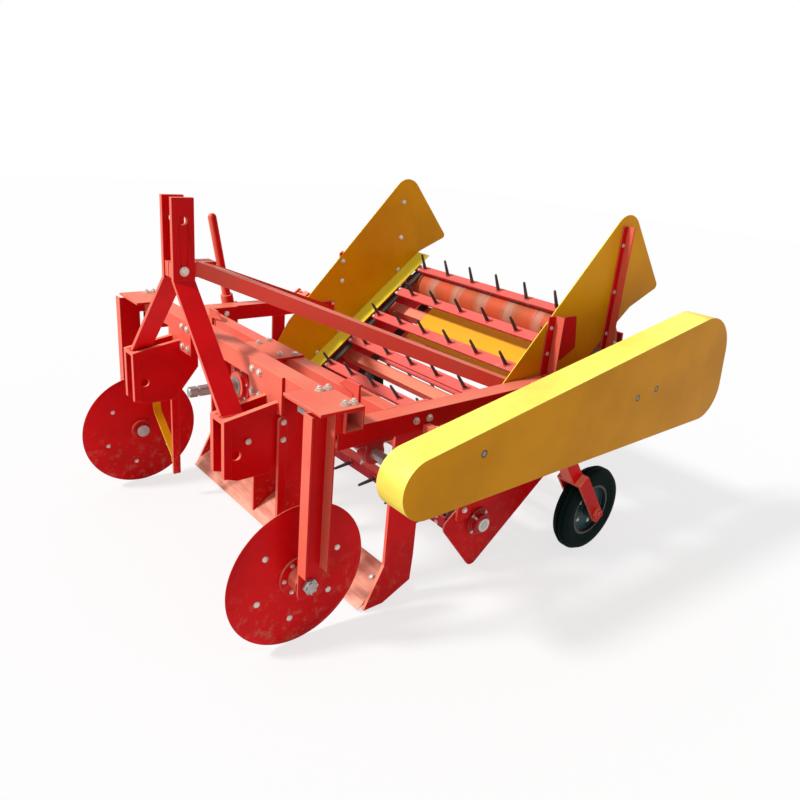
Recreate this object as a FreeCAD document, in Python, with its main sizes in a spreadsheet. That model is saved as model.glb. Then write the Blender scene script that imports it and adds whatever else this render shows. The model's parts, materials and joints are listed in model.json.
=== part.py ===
"""Mounted groundnut digger with a spiked slat elevator, coulter discs and gauge wheels.

Frame of the part: +X is the way it is pulled, +Y its left side, +Z up, millimetres.
The discs, blade and wheels stand on Z = 0, and the origin is under the middle of its overall box.
"""
import FreeCAD, Part
import math
import os
import re
import Sketcher

VECTOR = FreeCAD.Vector
SIDES = (("left", 1), ("right", -1))

# Driving sizes in millimetres and degrees: each can be changed by itself.
SIZES = {
    # coulter discs and the channels that carry them
    "disc_diameter": 450, "disc_thickness": 6, "disc_inset": 7, "disc_edge": 1.5, "disc_bevel": 14,
    "hub_radius": 38, "hub_inner": 22, "hub_flange_radius": 62, "hub_flange": 7, "axle_radius": 15,
    "axle_collar": 24, "collar_thickness": 12, "axle_nut": 16, "running_clearance": 0.05, "end_float": 5,
    "arm_width": 76, "arm_depth": 40, "arm_wall": 6, "arm_stand_off": 56, "arm_foot": 38,
    "flange_rise": 50, "clamp_gap": 20, "clamp_plate": 8, "clamp_reach": 180, "clamp_nose": 20,
    # main frame
    "frame_top": 690, "beam_depth": 60, "beam_height": 60, "beam_wall": 5, "beam_overhang": 30,
    "rail_size": 60, "rail_wall": 5, "rail_overhang": 60, "cross_tube_size": 50, "cross_tube_wall": 4,
    "cross_tube_gap": 142, "lug_offset": 470, "lug_width": 24, "lug_plate": 8, "lug_rise": 36,
    "lug_drop": 76, "lug_nose": 80,
    # three-point hitch
    "hitch_offset": 341, "hitch_gap": 50, "hitch_plate": 12, "hitch_pin_height": 525,
    "hitch_pin_reach": 138, "hitch_hole": 14.6, "hitch_reach": 180, "hitch_low": 462,
    "hitch_rear_low": 560, "hitch_belly": 15, "hitch_belly_front": 45, "hitch_belly_rear": 150,
    "hitch_cap": 640, "hitch_cap_rise": 32, "hitch_rim": 24, "hitch_rim_plate": 6, "hitch_face_plate": 10,
    "hitch_face_inner": 130, "hitch_face_outer": 60, "hitch_face_low": 634, "mast_height": 610,
    "mast_plate": 16, "mast_width": 68, "mast_gap": 54, "mast_bend": 960, "mast_foot": 20,
    "mast_top": 1200, "mast_setback": 10, "link_hole": 12.9, "stay_size": 44, "stay_wall": 4,
    "stay_height": 988, "stay_bolt": 10, "stay_head": 7, "stay_nut": 14, "bolt_clearance": 0.3,
    "stay_lug": 30, "stay_heel": 46, "stay_spread": 4, "stay_split": 2, "stay_foot_setback": 860,
    "stay_foot_drop": 46, "stay_foot_length": 110, "stay_foot_height": 64, "stay_foot_plate": 8,
    # elevator
    "elevator_setback": 715, "elevator_length": 870, "lower_shaft_height": 190, "bearing_height": 42,
    "elevator_half_width": 601, "pulley_radius": 80, "belt_gap": 0.3, "belt_thickness": 8,
    "belt_width": 45, "belt_inset": 89, "drum_radius": 72, "shaft_radius": 17.5, "roller_length": 60,
    "shaft_end": 40, "slat_count": 14, "slat_width": 46, "slat_thickness": 10, "slat_inset": 46,
    "slat_phase": 0.45, "spike_count": 7, "spike_margin": 75, "spike_radius": 8, "spike_length": 80,
    "spike_tip": 5, "side_plate": 6, "side_plate_low": 148, "side_plate_high": 121,
    "side_plate_front": 120, "side_plate_rear": 32, "side_plate_corner": 30, "low_tube_share": 0.42,
    "high_tube_share": 0.8, "cross_tube_sink": 15, "deck_thickness": 3, "deck_lead": 310,
    "deck_trail": 85, "deck_half_width": 340, "deck_gap": 0.05, "hanger_width": 60, "hanger_plate": 10,
    "front_hanger_lead": 80, "front_hanger_low": 225, "rear_hanger_trail": 300, "rear_hanger_low": 420,
    # yellow side sheets, their posts and gussets
    "sheet_thickness": 3, "sheet_lip": 85, "sheet_gap": 10, "sheet_front": 50, "sheet_rear": 285,
    "sheet_tail": 58, "sheet_tail_lead": 115, "sheet_crown": 468, "sheet_crown_lead": 21,
    "sheet_crown_round": 80, "sheet_shoulder": 345, "sheet_shoulder_lead": 181,
    "sheet_shoulder_round": 60, "sheet_nose_lean": 8, "sheet_nose_rise": 90, "sheet_cheek_rise": 155,
    "sheet_brow": 76, "sheet_brow_drop": 39, "sheet_corner": 15, "sheet_bend": 30, "post_size": 40,
    "rear_post_size": 30, "post_wall": 5, "front_post_trail": 265, "front_post_rise": 205,
    "rear_post_lead": 91, "rear_post_rise": 495, "gusset_plate": 5, "gusset_reach": 132,
    "gusset_high": 195, "gusset_low": 42, "gusset_slant": 22, "gusset_side": 116, "gusset_toe": 61,
    "gusset_corner": 8,
    # blade and shanks
    "blade_setback": 226, "blade_chord": 165, "blade_thickness": 10, "blade_tilt": 32, "blade_height": 8,
    "blade_bevel": 30, "blade_edge": 1, "shank_thickness": 12, "shank_width": 120, "shank_toe": 14,
    "shank_heel": 90, "shank_knee": 150, "shank_lean": 5, "shank_heel_rise": 50,
    "inner_shank_offset": 100, "inner_shank_width": 100, "inner_shank_lead": 25,
    # gearbox and drive
    "gearbox_length": 124, "gearbox_width": 150, "gearbox_height": 148, "gearbox_gap": 15,
    "gearbox_foot": 15, "gearbox_foot_reach": 8, "gearbox_chamfer": 20, "gearbox_waist": 22,
    "gearbox_slope": 10, "boss_length": 20, "boss_wall": 24, "mount_plate": 8, "mount_overhang": 30,
    "input_radius": 20, "input_reach": 168, "spline_radius": 17.45, "spline_length": 80,
    "cross_shaft_radius": 15, "bearing_gap": 0.2, "housing_half": 19, "housing_radius": 34,
    "housing_foot": 14, "housing_foot_half": 65, "housing_web_half": 30, "flange_radius": 50,
    "flange_plate": 10, "flange_boss": 30, "guard_reach": 230, "guard_depth": 107, "guard_wall": 2.5,
    "guard_front_radius": 88, "guard_low_radius": 110, "guard_high_radius": 160, "guard_nose": 10,
    "guard_low_reach": 148, "guard_high_reach": 80, "guard_high_rise": 20, "guard_low_rise": 17,
    "small_pulley": 50, "large_pulley": 100, "pulley_width": 50, "pulley_inset": 12, "groove_depth": 12,
    "groove_flare": 2, "drive_belt": 12, "drive_belt_gap": 22, "drive_belt_thickness": 8,
    "drive_belt_fit": 0.2, "guard_arm": 25, "front_arm_lead": 345, "front_arm_rise": 4,
    "middle_arm_lead": 307, "rear_arm_lead": 202, "rear_arm_drop": 22,
    # gauge wheels
    "wheel_diameter": 330, "tyre_width": 64, "tyre_shoulder": 22, "tyre_crown": 10, "tyre_bulge": 30,
    "rim_diameter": 200, "rim_gap": 0.2, "rim_flange": 8, "rim_web": 10, "wheel_hub_radius": 28,
    "wheel_hub_reach": 5, "wheel_gap": 60, "wheel_lead": 212, "wheel_axle": 12, "wheel_stub": 70,
    "axle_end": 6, "fork_tilt": 37, "fork_gap": 10, "fork_plate": 10, "fork_width": 52, "fork_toe": 19,
    "tyre_clearance": 25, "stem_size": 50, "stem_top": 640, "fork_shoe": 80, "fork_shoe_height": 56,
    # parking stand
    "stand_radius": 17.5, "stand_gap": 30, "stand_setback": 440, "stand_tilt": 11, "stand_up": 405,
    "stand_down": 320, "sleeve_radius": 26, "sleeve_half": 60, "slide_clearance": 0.3, "sleeve_shoe": 60,
    "sleeve_shoe_height": 54, "sleeve_shoe_plate": 10,
}

# Places worked out from the driving sizes.
PLACES = {
    "tilt": "asin((frame_top + bearing_height - lower_shaft_height) / elevator_length)",
    "span": "elevator_setback + elevator_length * cos(tilt) + guard_low_reach + guard_low_radius",
    "axle_x": "(span - disc_diameter / 2) / 2",
    "axle_height": "disc_diameter / 2",
    "rail_inner": "elevator_half_width + sheet_thickness + side_plate",
    "rail_outer": "rail_inner + rail_size",
    "rail_middle": "rail_inner + rail_size / 2",
    "rail_bottom": "frame_top - rail_size",
    "wheel_offset": "rail_outer + wheel_gap",
    "stand_offset": "rail_outer + stand_gap",
    "guard_offset": "rail_outer + guard_reach",
    "guard_inner": "guard_offset - guard_wall",
    "centre_plane": "(wheel_offset + wheel_stub - guard_offset) / 2",
    "disc_offset": "elevator_half_width - disc_inset",
    "arm_web_offset": "disc_offset + arm_stand_off",
    "beam_front": "axle_x - arm_width / 2 - clamp_gap",
    "beam_rear": "beam_front - beam_depth",
    "beam_bottom": "frame_top",
    "beam_top": "beam_bottom + beam_height",
    "beam_end": "rail_outer + beam_overhang",
    "lower_x": "axle_x - elevator_setback",
    "upper_x": "lower_x - elevator_length * cos(tilt)",
    "upper_height": "frame_top + bearing_height",
    "belt_offset": "elevator_half_width - belt_inset",
    "belt_radius": "pulley_radius + belt_gap + belt_thickness",
    "slat_half_length": "elevator_half_width - slat_inset",
    "spike_pitch": "2 * (slat_half_length - spike_margin) / (spike_count - 1)",
    "sheet_low": "belt_radius + slat_thickness + sheet_gap",
    "sheet_outer": "elevator_half_width + sheet_thickness",
    "tube_front": "beam_rear - cross_tube_gap",
    "tube_rear": "tube_front - cross_tube_size",
    "drive_height": "rail_bottom - bearing_height",
    "drive_x": "beam_rear - gearbox_gap - gearbox_length / 2",
    "pulley_offset": "guard_inner - pulley_inset - pulley_width / 2",
    "hitch_front": "beam_front + hitch_reach",
    "hitch_pin_x": "beam_front + hitch_pin_reach",
    "mast_x": "hitch_front - mast_setback - mast_width / 2",
    "link_height": "hitch_pin_height + mast_height",
    "wheel_radius": "wheel_diameter / 2",
    "wheel_x": "upper_x + wheel_lead",
    "blade_x": "axle_x - blade_setback",
    "stand_x": "axle_x - stand_setback",
    "stand_height": "rail_bottom + rail_size / 2",
}

WORD = re.compile(r"[a-z_]+")


def prefixed(expression):
    """Expression with each size and place written as a cell of its sheet."""
    def cell(match):
        name = match.group(0)
        if name in SIZES:
            return "Sizes." + name
        return "Places." + name if name in PLACES else name
    return WORD.sub(cell, str(expression))


def fill_sheet(document, title, rows):
    """Spreadsheet with a name and a value on each row, the value under an alias."""
    sheet = document.addObject("Spreadsheet::Sheet", title)
    for row, (name, value) in enumerate(rows.items(), start=1):
        text = str(value)
        if title == "Places":
            text = "=" + re.sub(r"\bPlaces\.", "", prefixed(value))
        sheet.set("A%d" % row, name)
        sheet.set("B%d" % row, text)
        sheet.setAlias("B%d" % row, name)
        document.recompute()
    return sheet


doc = FreeCAD.newDocument("groundnut_digger")
sizes = fill_sheet(doc, "Sizes", SIZES)
places = fill_sheet(doc, "Places", PLACES)


def value(expression):
    """Number that an expression of sizes and places gives now."""
    result = places.evalExpression(prefixed(expression).replace("Places.", ""))
    return float(getattr(result, "Value", result))


def bind(item, path, expression):
    item.setExpression(path, prefixed(expression))


def place(item, x, y, z, tilt=None):
    """Bind a piece's place, with y measured from the machine's centre plane, and its tilt about Y."""
    if tilt is not None:
        item.Placement = FreeCAD.Placement(VECTOR(), FreeCAD.Rotation(VECTOR(0, 1, 0), 1))
        bind(item, "Placement.Rotation.Angle", tilt)
    bind(item, "Placement.Base.x", x)
    bind(item, "Placement.Base.y", "(%s) + centre_plane" % y)
    bind(item, "Placement.Base.z", z)
    return item


# ---- sketched pieces ---------------------------------------------------------------------------

def new_body(label):
    body = doc.addObject("PartDesign::Body", label)
    body.Label = label
    return body


def new_sketch(body, role):
    """Sketch on one of the body's own origin planes."""
    plane = [feature for feature in body.Origin.OriginFeatures if feature.Role == role][0]
    sketch = body.newObject("Sketcher::SketchObject", body.Label + "_sketch")
    sketch.AttachmentSupport = (plane, [""])
    sketch.MapMode = "FlatFace"
    return sketch


def pin_point(sketch, edge, point, x, y):
    """Hold a point of a sketch at two bound distances from the origin."""
    for kind, expression in (("DistanceX", x), ("DistanceY", y)):
        row = sketch.addConstraint(Sketcher.Constraint(kind, -1, 1, edge, point, value(expression)))
        bind(sketch, "Constraints[%d]" % row, expression)


def outline(sketch, points):
    """Closed run of straight lines through points given as pairs of expressions."""
    start = sketch.GeometryCount
    count = len(points)
    spots = [VECTOR(value(x), value(y), 0) for x, y in points]
    for index in range(count):
        sketch.addGeometry(Part.LineSegment(spots[index], spots[(index + 1) % count]), False)
    for index in range(count):
        following = start + (index + 1) % count
        sketch.addConstraint(Sketcher.Constraint("Coincident", start + index, 2, following, 1))
    for index, (x, y) in enumerate(points):
        pin_point(sketch, start + index, 1, x, y)


def round_hole(sketch, x, y, radius):
    circle = Part.Circle(VECTOR(value(x), value(y), 0), VECTOR(0, 0, 1), value(radius))
    edge = sketch.addGeometry(circle, False)
    pin_point(sketch, edge, 3, x, y)
    row = sketch.addConstraint(Sketcher.Constraint("Radius", edge, value(radius)))
    bind(sketch, "Constraints[%d]" % row, radius)


def pad(body, sketch, length, both_ways=True):
    feature = body.newObject("PartDesign::Pad", body.Label + "_pad")
    feature.Profile = sketch
    if both_ways:
        feature.SideType = "Symmetric"
    bind(feature, "Length", length)
    doc.recompute()
    return feature


def pocket(body, sketch):
    """Cut a sketch right through the body, both ways."""
    feature = body.newObject("PartDesign::Pocket", body.Label + "_pocket")
    feature.Profile = sketch
    feature.SideType = "Symmetric"
    feature.Type = "ThroughAll"
    doc.recompute()
    return feature


def plate(label, points, thickness, holes=(), role="XZ_Plane"):
    """Flat piece cut from plate: its outline, its round holes, and its thickness about its own plane."""
    body = new_body(label)
    sketch = new_sketch(body, role)
    outline(sketch, points)
    for x, y, radius in holes:
        round_hole(sketch, x, y, radius)
    pad(body, sketch, thickness)
    return body


def box_points(low_x, high_x, low_y, high_y):
    return [(low_x, low_y), (high_x, low_y), (high_x, high_y), (low_x, high_y)]


def tube(label, low, high, wall, length, role):
    """Rectangular hollow section: two corners of its section, its wall and its length."""
    body = new_body(label)
    sketch = new_sketch(body, role)
    outline(sketch, box_points(low[0], high[0], low[1], high[1]))
    inner = box_points("%s + %s" % (low[0], wall), "%s - %s" % (high[0], wall),
                       "%s + %s" % (low[1], wall), "%s - %s" % (high[1], wall))
    outline(sketch, inner)
    pad(body, sketch, length)
    return body


def turned(label, points):
    """Piece turned about its own Y axis from a half profile of radius and height pairs."""
    body = new_body(label)
    sketch = new_sketch(body, "XY_Plane")
    outline(sketch, points)
    feature = body.newObject("PartDesign::Revolution", label + "_turn")
    feature.Profile = sketch
    feature.ReferenceAxis = (sketch, ["V_Axis"])
    feature.Angle = 360
    doc.recompute()
    return body


def solid(label, *shapes):
    """Piece made with Part's own functions, one solid or several that stand apart."""
    item = doc.addObject("Part::Feature", label)
    item.Label = label
    item.Shape = shapes[0].removeSplitter() if len(shapes) == 1 else Part.makeCompound(list(shapes))
    shift = FreeCAD.Placement(VECTOR(0, value("centre_plane"), 0), FreeCAD.Rotation())
    item.Placement = shift.multiply(item.Placement)


# ---- shapes with rounded outlines --------------------------------------------------------------

def wrap(circles):
    """Wire in the XZ plane pulled tight around circles (x, z, radius) given anticlockwise."""
    count = len(circles)
    normals = []
    for index in range(count):
        x, z, radius = circles[index]
        next_x, next_z, next_radius = circles[(index + 1) % count]
        distance = math.hypot(next_x - x, next_z - z)
        along = ((next_x - x) / distance, (next_z - z) / distance)
        lean = (radius - next_radius) / distance
        square = math.sqrt(1 - lean * lean)
        normals.append((along[0] * lean + along[1] * square, along[1] * lean - along[0] * square))
    edges = []
    for index in range(count):
        x, z, radius = circles[index]
        first, last = normals[index - 1], normals[index]
        start_angle = math.atan2(first[1], first[0])
        sweep = (math.atan2(last[1], last[0]) - start_angle) % (2 * math.pi)
        middle = start_angle + sweep / 2
        start = VECTOR(x + radius * first[0], 0, z + radius * first[1])
        through = VECTOR(x + radius * math.cos(middle), 0, z + radius * math.sin(middle))
        end = VECTOR(x + radius * last[0], 0, z + radius * last[1])
        edges.append(Part.Arc(start, through, end).toShape())
        next_x, next_z, next_radius = circles[(index + 1) % count]
        beyond = VECTOR(next_x + next_radius * last[0], 0, next_z + next_radius * last[1])
        edges.append(Part.LineSegment(end, beyond).toShape())
    return Part.Wire(edges)


def slab(circles, low_y, high_y):
    """Flat piece between two Y planes with the outline that wraps the circles."""
    face = Part.Face(wrap(circles))
    face.translate(VECTOR(0, low_y, 0))
    return face.extrude(VECTOR(0, high_y - low_y, 0))


def shrunk(circles, amount):
    return [(x, z, radius - amount) for x, z, radius in circles]


def ring(circles, thickness, low_y, high_y):
    """Closed band of even thickness around the circles."""
    return slab(shrunk(circles, -thickness), low_y, high_y).cut(slab(circles, low_y, high_y))


def rounded(corners):
    """Closed wire in the XZ plane through corners (x, z, radius), each rounded to its radius."""
    spots = [VECTOR(x, 0, z) for x, z, _radius in corners]
    count = len(corners)
    bends = []
    for index in range(count):
        before = (spots[index - 1] - spots[index]).normalize()
        after = (spots[(index + 1) % count] - spots[index]).normalize()
        half_angle = before.getAngle(after) / 2
        radius = corners[index][2]
        inward = (before + after).normalize()
        middle = spots[index] + inward * (radius / math.sin(half_angle) - radius)
        trim = radius / math.tan(half_angle)
        bends.append((spots[index] + before * trim, middle, spots[index] + after * trim))
    edges = []
    for index in range(count):
        first, middle, last = bends[index]
        if corners[index][2]:
            edges.append(Part.Arc(first, middle, last).toShape())
        edges.append(Part.LineSegment(last, bends[(index + 1) % count][0]).toShape())
    return Part.Wire(edges)


def panel(corners, low_y, high_y):
    """Flat piece between two Y planes with rounded corners (x, z, radius)."""
    face = Part.Face(rounded(corners))
    face.translate(VECTOR(0, low_y, 0))
    return face.extrude(VECTOR(0, high_y - low_y, 0))


def block(low, high):
    """Plain rectangular block between two opposite corners."""
    size = [top - bottom for bottom, top in zip(low, high)]
    return Part.makeBox(size[0], size[1], size[2], VECTOR(*low))


def rod(start, end, radius):
    """Round bar from one point to another."""
    axis = VECTOR(*end) - VECTOR(*start)
    return Part.makeCylinder(radius, axis.Length, VECTOR(*start), axis)


def mirrored(shape, sign):
    """The shape itself for the left side, its mirror image for the right."""
    return shape if sign > 0 else shape.mirror(VECTOR(), VECTOR(0, 1, 0))


def on_elevator(shape):
    """Lay a shape drawn along the elevator (X down it, Z square to it) at the lower shaft."""
    shape.rotate(VECTOR(), VECTOR(0, 1, 0), value("tilt"))
    shape.translate(VECTOR(value("lower_x"), 0, value("lower_shaft_height")))
    return shape


# ---- main frame --------------------------------------------------------------------------------

def front_beam():
    """Square tube across the front, on top of the two rails."""
    body = tube("front_beam", ("beam_rear", "beam_bottom"), ("beam_front", "beam_top"),
                "beam_wall", "2 * beam_end", "XZ_Plane")
    place(body, 0, 0, 0)


def side_rail(side, sign):
    inner = ("rail_inner", "rail_bottom") if sign > 0 else ("-rail_outer", "rail_bottom")
    outer = ("rail_outer", "frame_top") if sign > 0 else ("-rail_inner", "frame_top")
    length = "beam_front - upper_x + rail_overhang"
    body = tube(side + "_side_rail", inner, outer, "rail_wall", length, "YZ_Plane")
    place(body, "(beam_front + upper_x - rail_overhang) / 2", 0, 0)


def mid_cross_tube():
    body = tube("mid_cross_tube", ("tube_rear", "frame_top - cross_tube_size"),
                ("tube_front", "frame_top"), "cross_tube_wall", "2 * rail_inner", "XZ_Plane")
    place(body, 0, 0, 0)


def cross_tube_lugs():
    """Upright flats on the front of the cross tube, each with a nose turned towards the middle."""
    front = value("tube_front")
    top = value("frame_top + lug_rise")
    outer = value("lug_offset + lug_width")
    inner = value("lug_offset")
    low = value("frame_top - lug_drop")
    nose = value("lug_nose")
    corners = [(outer, low), (outer, top), (inner - nose / 2, top), (inner - nose, top - nose / 3),
               (inner, value("frame_top")), (inner, low)]
    spots = [VECTOR(front, y, z) for y, z in corners]
    lug = Part.Face(Part.makePolygon(spots + spots[:1])).extrude(VECTOR(value("lug_plate"), 0, 0))
    solid("cross_tube_lugs", lug, mirrored(lug, -1))


# ---- three-point hitch -------------------------------------------------------------------------

def mast_bar(side, sign):
    """Flat bar bent outwards from the top link clevis to its lower hitch bracket."""
    body = new_body(side + "_mast_bar")
    sketch = new_sketch(body, "YZ_Plane")
    near, far = "mast_gap / 2", "mast_gap / 2 + mast_plate"
    points = [(near, "mast_top"), (near, "mast_bend"), ("hitch_offset - mast_foot / 2", "hitch_cap"),
              ("hitch_offset + mast_foot / 2", "hitch_cap"), (far, "mast_bend"), (far, "mast_top")]
    outline(sketch, [("%d * (%s)" % (sign, y), z) for y, z in points])
    pad(body, sketch, "mast_width")
    holes = new_sketch(body, "XZ_Plane")
    round_hole(holes, 0, "link_height", "link_hole")
    round_hole(holes, 0, "stay_height", "stay_bolt + bolt_clearance")
    pocket(body, holes)
    place(body, "mast_x", 0, 0)


def hitch_bracket(side, sign):
    """Two rimmed cheeks around the lower link's ball, the cap under the mast and a plate on the beam."""
    front, cap = value("hitch_front"), value("hitch_cap")
    beam_front, beam_rear = value("beam_front"), value("beam_rear")
    low = value("hitch_low - hitch_belly")
    plate_t = value("hitch_plate")
    shoulder = cap + value("hitch_cap_rise")
    corners = [(front, cap), (beam_front, shoulder), (beam_front, value("beam_bottom")),
               (beam_rear, value("beam_bottom")), (beam_rear, value("hitch_rear_low")),
               (front - value("hitch_belly_rear"), low), (front - value("hitch_belly_front"), low),
               (front, value("hitch_low"))]
    spots = [VECTOR(x, 0, z) for x, z in corners]
    cheek = Part.Face(Part.makePolygon(spots + spots[:1])).extrude(VECTOR(0, plate_t, 0))
    rim_width, rim_plate = value("hitch_rim"), value("hitch_rim_plate")
    rim_corners = [(front, cap), (beam_front, shoulder), (beam_front, shoulder - rim_width),
                   (front - rim_width, cap - rim_width), (front - rim_width, value("hitch_low")),
                   (front, value("hitch_low"))]
    spots = [VECTOR(x, 0, z) for x, z in rim_corners]
    rim = Part.Face(Part.makePolygon(spots + spots[:1])).extrude(VECTOR(0, rim_plate, 0))
    half_gap = value("hitch_gap / 2")
    centre = value("hitch_offset")
    inner, outer = centre - half_gap, centre + half_gap
    pieces = [cheek.translated(VECTOR(0, inner - plate_t, 0)), cheek.translated(VECTOR(0, outer, 0)),
              rim.translated(VECTOR(0, inner - plate_t - rim_plate, 0)),
              rim.translated(VECTOR(0, outer + plate_t, 0)),
              block((value("mast_x - mast_width / 2"), inner, cap - plate_t), (front, outer, cap)),
              block((beam_front, centre - value("hitch_face_inner"), value("hitch_face_low")),
                    (beam_front + value("hitch_face_plate"), centre + value("hitch_face_outer"),
                     value("beam_top")))]
    pin_x = value("hitch_pin_x")
    pin = rod((pin_x, 0, value("hitch_pin_height")), (pin_x, centre * 2, value("hitch_pin_height")),
              value("hitch_hole"))
    solid(side + "_hitch_bracket", mirrored(pieces[0].fuse(pieces[1:]).cut(pin), sign))


def mast_stay(side, sign):
    """Square tube back to the side rail, between a tongue bolted in the mast and a foot plate."""
    half, wall, height = value("stay_size / 2"), value("stay_wall"), value("stay_height")
    mast_x, face, far = value("mast_x"), value("mast_gap / 2"), value("span")
    start = VECTOR(value("mast_x - mast_width / 2 - stay_lug"), half + value("stay_spread"), height)
    foot_y = value("elevator_half_width")
    foot_face = foot_y - value("stay_foot_plate")
    end = VECTOR(value("axle_x - stay_foot_setback"), foot_y, value("frame_top - stay_foot_drop"))
    along = end - start
    length, hollow = along.Length + 3 * half, 2 * (half - wall)
    tube_shape = Part.makeBox(length, 2 * half, 2 * half, VECTOR(-half, -half, -half))
    tube_shape = tube_shape.cut(Part.makeBox(length, hollow, hollow, VECTOR(-half, wall - half, wall - half)))
    yaw = math.degrees(math.atan2(along.y, along.x))
    pitch = math.degrees(math.atan2(-along.z, math.hypot(along.x, along.y)))
    tube_shape.Placement = FreeCAD.Placement(start, FreeCAD.Rotation(yaw, pitch, 0))
    tube_shape = tube_shape.common(block((-far, face, 0), (value("mast_x - mast_width / 2"), foot_face, far)))
    foot_half, foot_rise = value("stay_foot_length / 2"), value("stay_foot_height / 2")
    foot = block((end.x - foot_half, foot_face, end.z - foot_rise),
                 (end.x + foot_half, foot_y, end.z + foot_rise))
    tongue = block((start.x - value("stay_heel"), value("stay_split"), height - half),
                   (mast_x + value("stay_lug"), face, height + half))
    bolt = rod((mast_x, 0, height), (mast_x, foot_y, height), value("stay_bolt + bolt_clearance"))
    solid(side + "_mast_stay", *[mirrored(piece, sign) for piece in (tube_shape, tongue.cut(bolt), foot)])


def mast_bolt():
    """Bolt that clamps the stays' lugs between the mast bars."""
    grip, head = "mast_gap / 2 + mast_plate", "stay_bolt + stay_head"
    body = turned("mast_bolt", [(0, "-(%s) - stay_nut" % grip), (head, "-(%s) - stay_nut" % grip),
                                (head, "-(%s)" % grip), ("stay_bolt", "-(%s)" % grip),
                                ("stay_bolt", grip), (head, grip),
                                (head, grip + " + stay_nut"), (0, grip + " + stay_nut")])
    place(body, "mast_x", 0, "stay_height")


# ---- coulter discs -----------------------------------------------------------------------------

def coulter_arm(side, sign):
    """Channel whose web runs on down to the axle, and the plate that holds it to the beam's top."""
    half, depth, wall = value("arm_width / 2"), value("arm_depth"), value("arm_wall")
    web = value("arm_web_offset")
    foot, top = value("axle_height - arm_foot"), value("beam_top")
    flange_low = value("axle_height + flange_rise")
    pieces = [panel([(-half, foot, half / 2), (half, foot, half / 2), (half, top, 0), (-half, top, 0)],
                    web, web + wall)]
    for low_x in (-half, half - wall):
        pieces.append(block((low_x, web, flange_low), (low_x + wall, web + depth, top)))
    rear = value("beam_front - axle_x")
    pieces.append(block((rear, web, value("beam_bottom")), (-half, web + depth, top)))
    end = value("beam_end")
    pieces.append(block((value("beam_rear - axle_x"), end - value("clamp_reach"), top),
                        (value("clamp_nose"), end, top + value("clamp_plate"))))
    height = value("axle_height")
    hole = rod((0, 0, height), (0, web * 2, height), value("axle_radius + bolt_clearance"))
    shape = pieces[0].fuse(pieces[1:]).cut(hole)
    shape.translate(VECTOR(value("axle_x"), 0, 0))
    solid(side + "_coulter_arm", mirrored(shape, sign))


def coulter_axle(side, sign):
    """Stub axle with a nut outside the web and a collar inside the disc."""
    nut, end = "arm_web_offset + arm_wall", "arm_web_offset + arm_wall + axle_nut"
    face = "disc_offset - hub_inner"
    points = [(0, face + " - collar_thickness"), ("axle_collar", face + " - collar_thickness"),
              ("axle_collar", face), ("axle_radius", face), ("axle_radius", nut), ("axle_collar", nut),
              ("axle_collar", end), (0, end)]
    body = turned(side + "_coulter_axle", [(r, "%d * (%s)" % (sign, y)) for r, y in points])
    place(body, "axle_x", 0, "axle_height")


def coulter_disc(side, sign):
    """Flat disc with a bevelled edge on a flanged hub that turns on the stub axle."""
    half, edge = "disc_thickness / 2", "disc_diameter / 2"
    bore = "axle_radius + running_clearance"
    hub_low, hub_high = "-hub_inner + end_float", "arm_stand_off - end_float"
    points = [(bore, hub_low), ("hub_radius", hub_low), ("hub_radius", "-" + half),
              (edge + " - disc_bevel", "-" + half), (edge, "-disc_edge / 2"), (edge, "disc_edge / 2"),
              (edge + " - disc_bevel", half), ("hub_flange_radius", half),
              ("hub_flange_radius", half + " + hub_flange"), ("hub_radius", half + " + hub_flange"),
              ("hub_radius", hub_high), (bore, hub_high)]
    body = turned(side + "_coulter_disc", [(r, "%d * (%s)" % (sign, y)) for r, y in points])
    place(body, "axle_x", "%d * disc_offset" % sign, "axle_height")


# ---- blade and shanks --------------------------------------------------------------------------

def digging_blade():
    """Full-width share, sharpened in front and rising to the rear."""
    points = [(0, 0), (0, "blade_edge"), ("-blade_bevel", "blade_thickness"),
              ("-blade_chord", "blade_thickness"), ("-blade_chord", 0)]
    body = plate("digging_blade", points, "2 * (rail_inner - shank_thickness)")
    place(body, "blade_x", 0, "blade_height", tilt="blade_tilt")


def side_shank(side, sign):
    """Flat standard on the rail's inner face that holds the end of the blade."""
    rear = "tube_rear - shank_width"
    points = [("tube_rear", "frame_top"), ("tube_rear", "shank_knee"),
              ("blade_x - shank_toe", "blade_height"), ("blade_x - shank_heel", "blade_height"),
              (rear + " + shank_lean", "blade_height + shank_heel_rise"), (rear, "shank_knee"),
              (rear, "frame_top")]
    body = plate(side + "_side_shank", points, "shank_thickness")
    place(body, 0, "%d * (rail_inner - shank_thickness / 2)" % sign, 0)


def inner_shanks():
    """Two standards under the cross tube, their feet cut to the slope of the blade."""
    top = value("frame_top - cross_tube_size")
    front = value("tube_front + inner_shank_lead")
    rear = front - value("inner_shank_width")
    slope = math.tan(math.radians(value("blade_tilt")))
    lift = value("blade_height") + value("blade_thickness") * math.sqrt(1 + slope * slope)
    foot = [lift + slope * (value("blade_x") - x) for x in (front, rear)]
    spots = [VECTOR(front, 0, foot[0]), VECTOR(front, 0, top), VECTOR(rear, 0, top), VECTOR(rear, 0, foot[1])]
    thickness = value("shank_thickness")
    standard = Part.Face(Part.makePolygon(spots + spots[:1])).extrude(VECTOR(0, thickness, 0))
    offset = value("inner_shank_offset")
    solid("inner_shanks", *[standard.translated(VECTOR(0, y - thickness / 2, 0)) for y in (-offset, offset)])


# ---- elevator ----------------------------------------------------------------------------------

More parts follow.
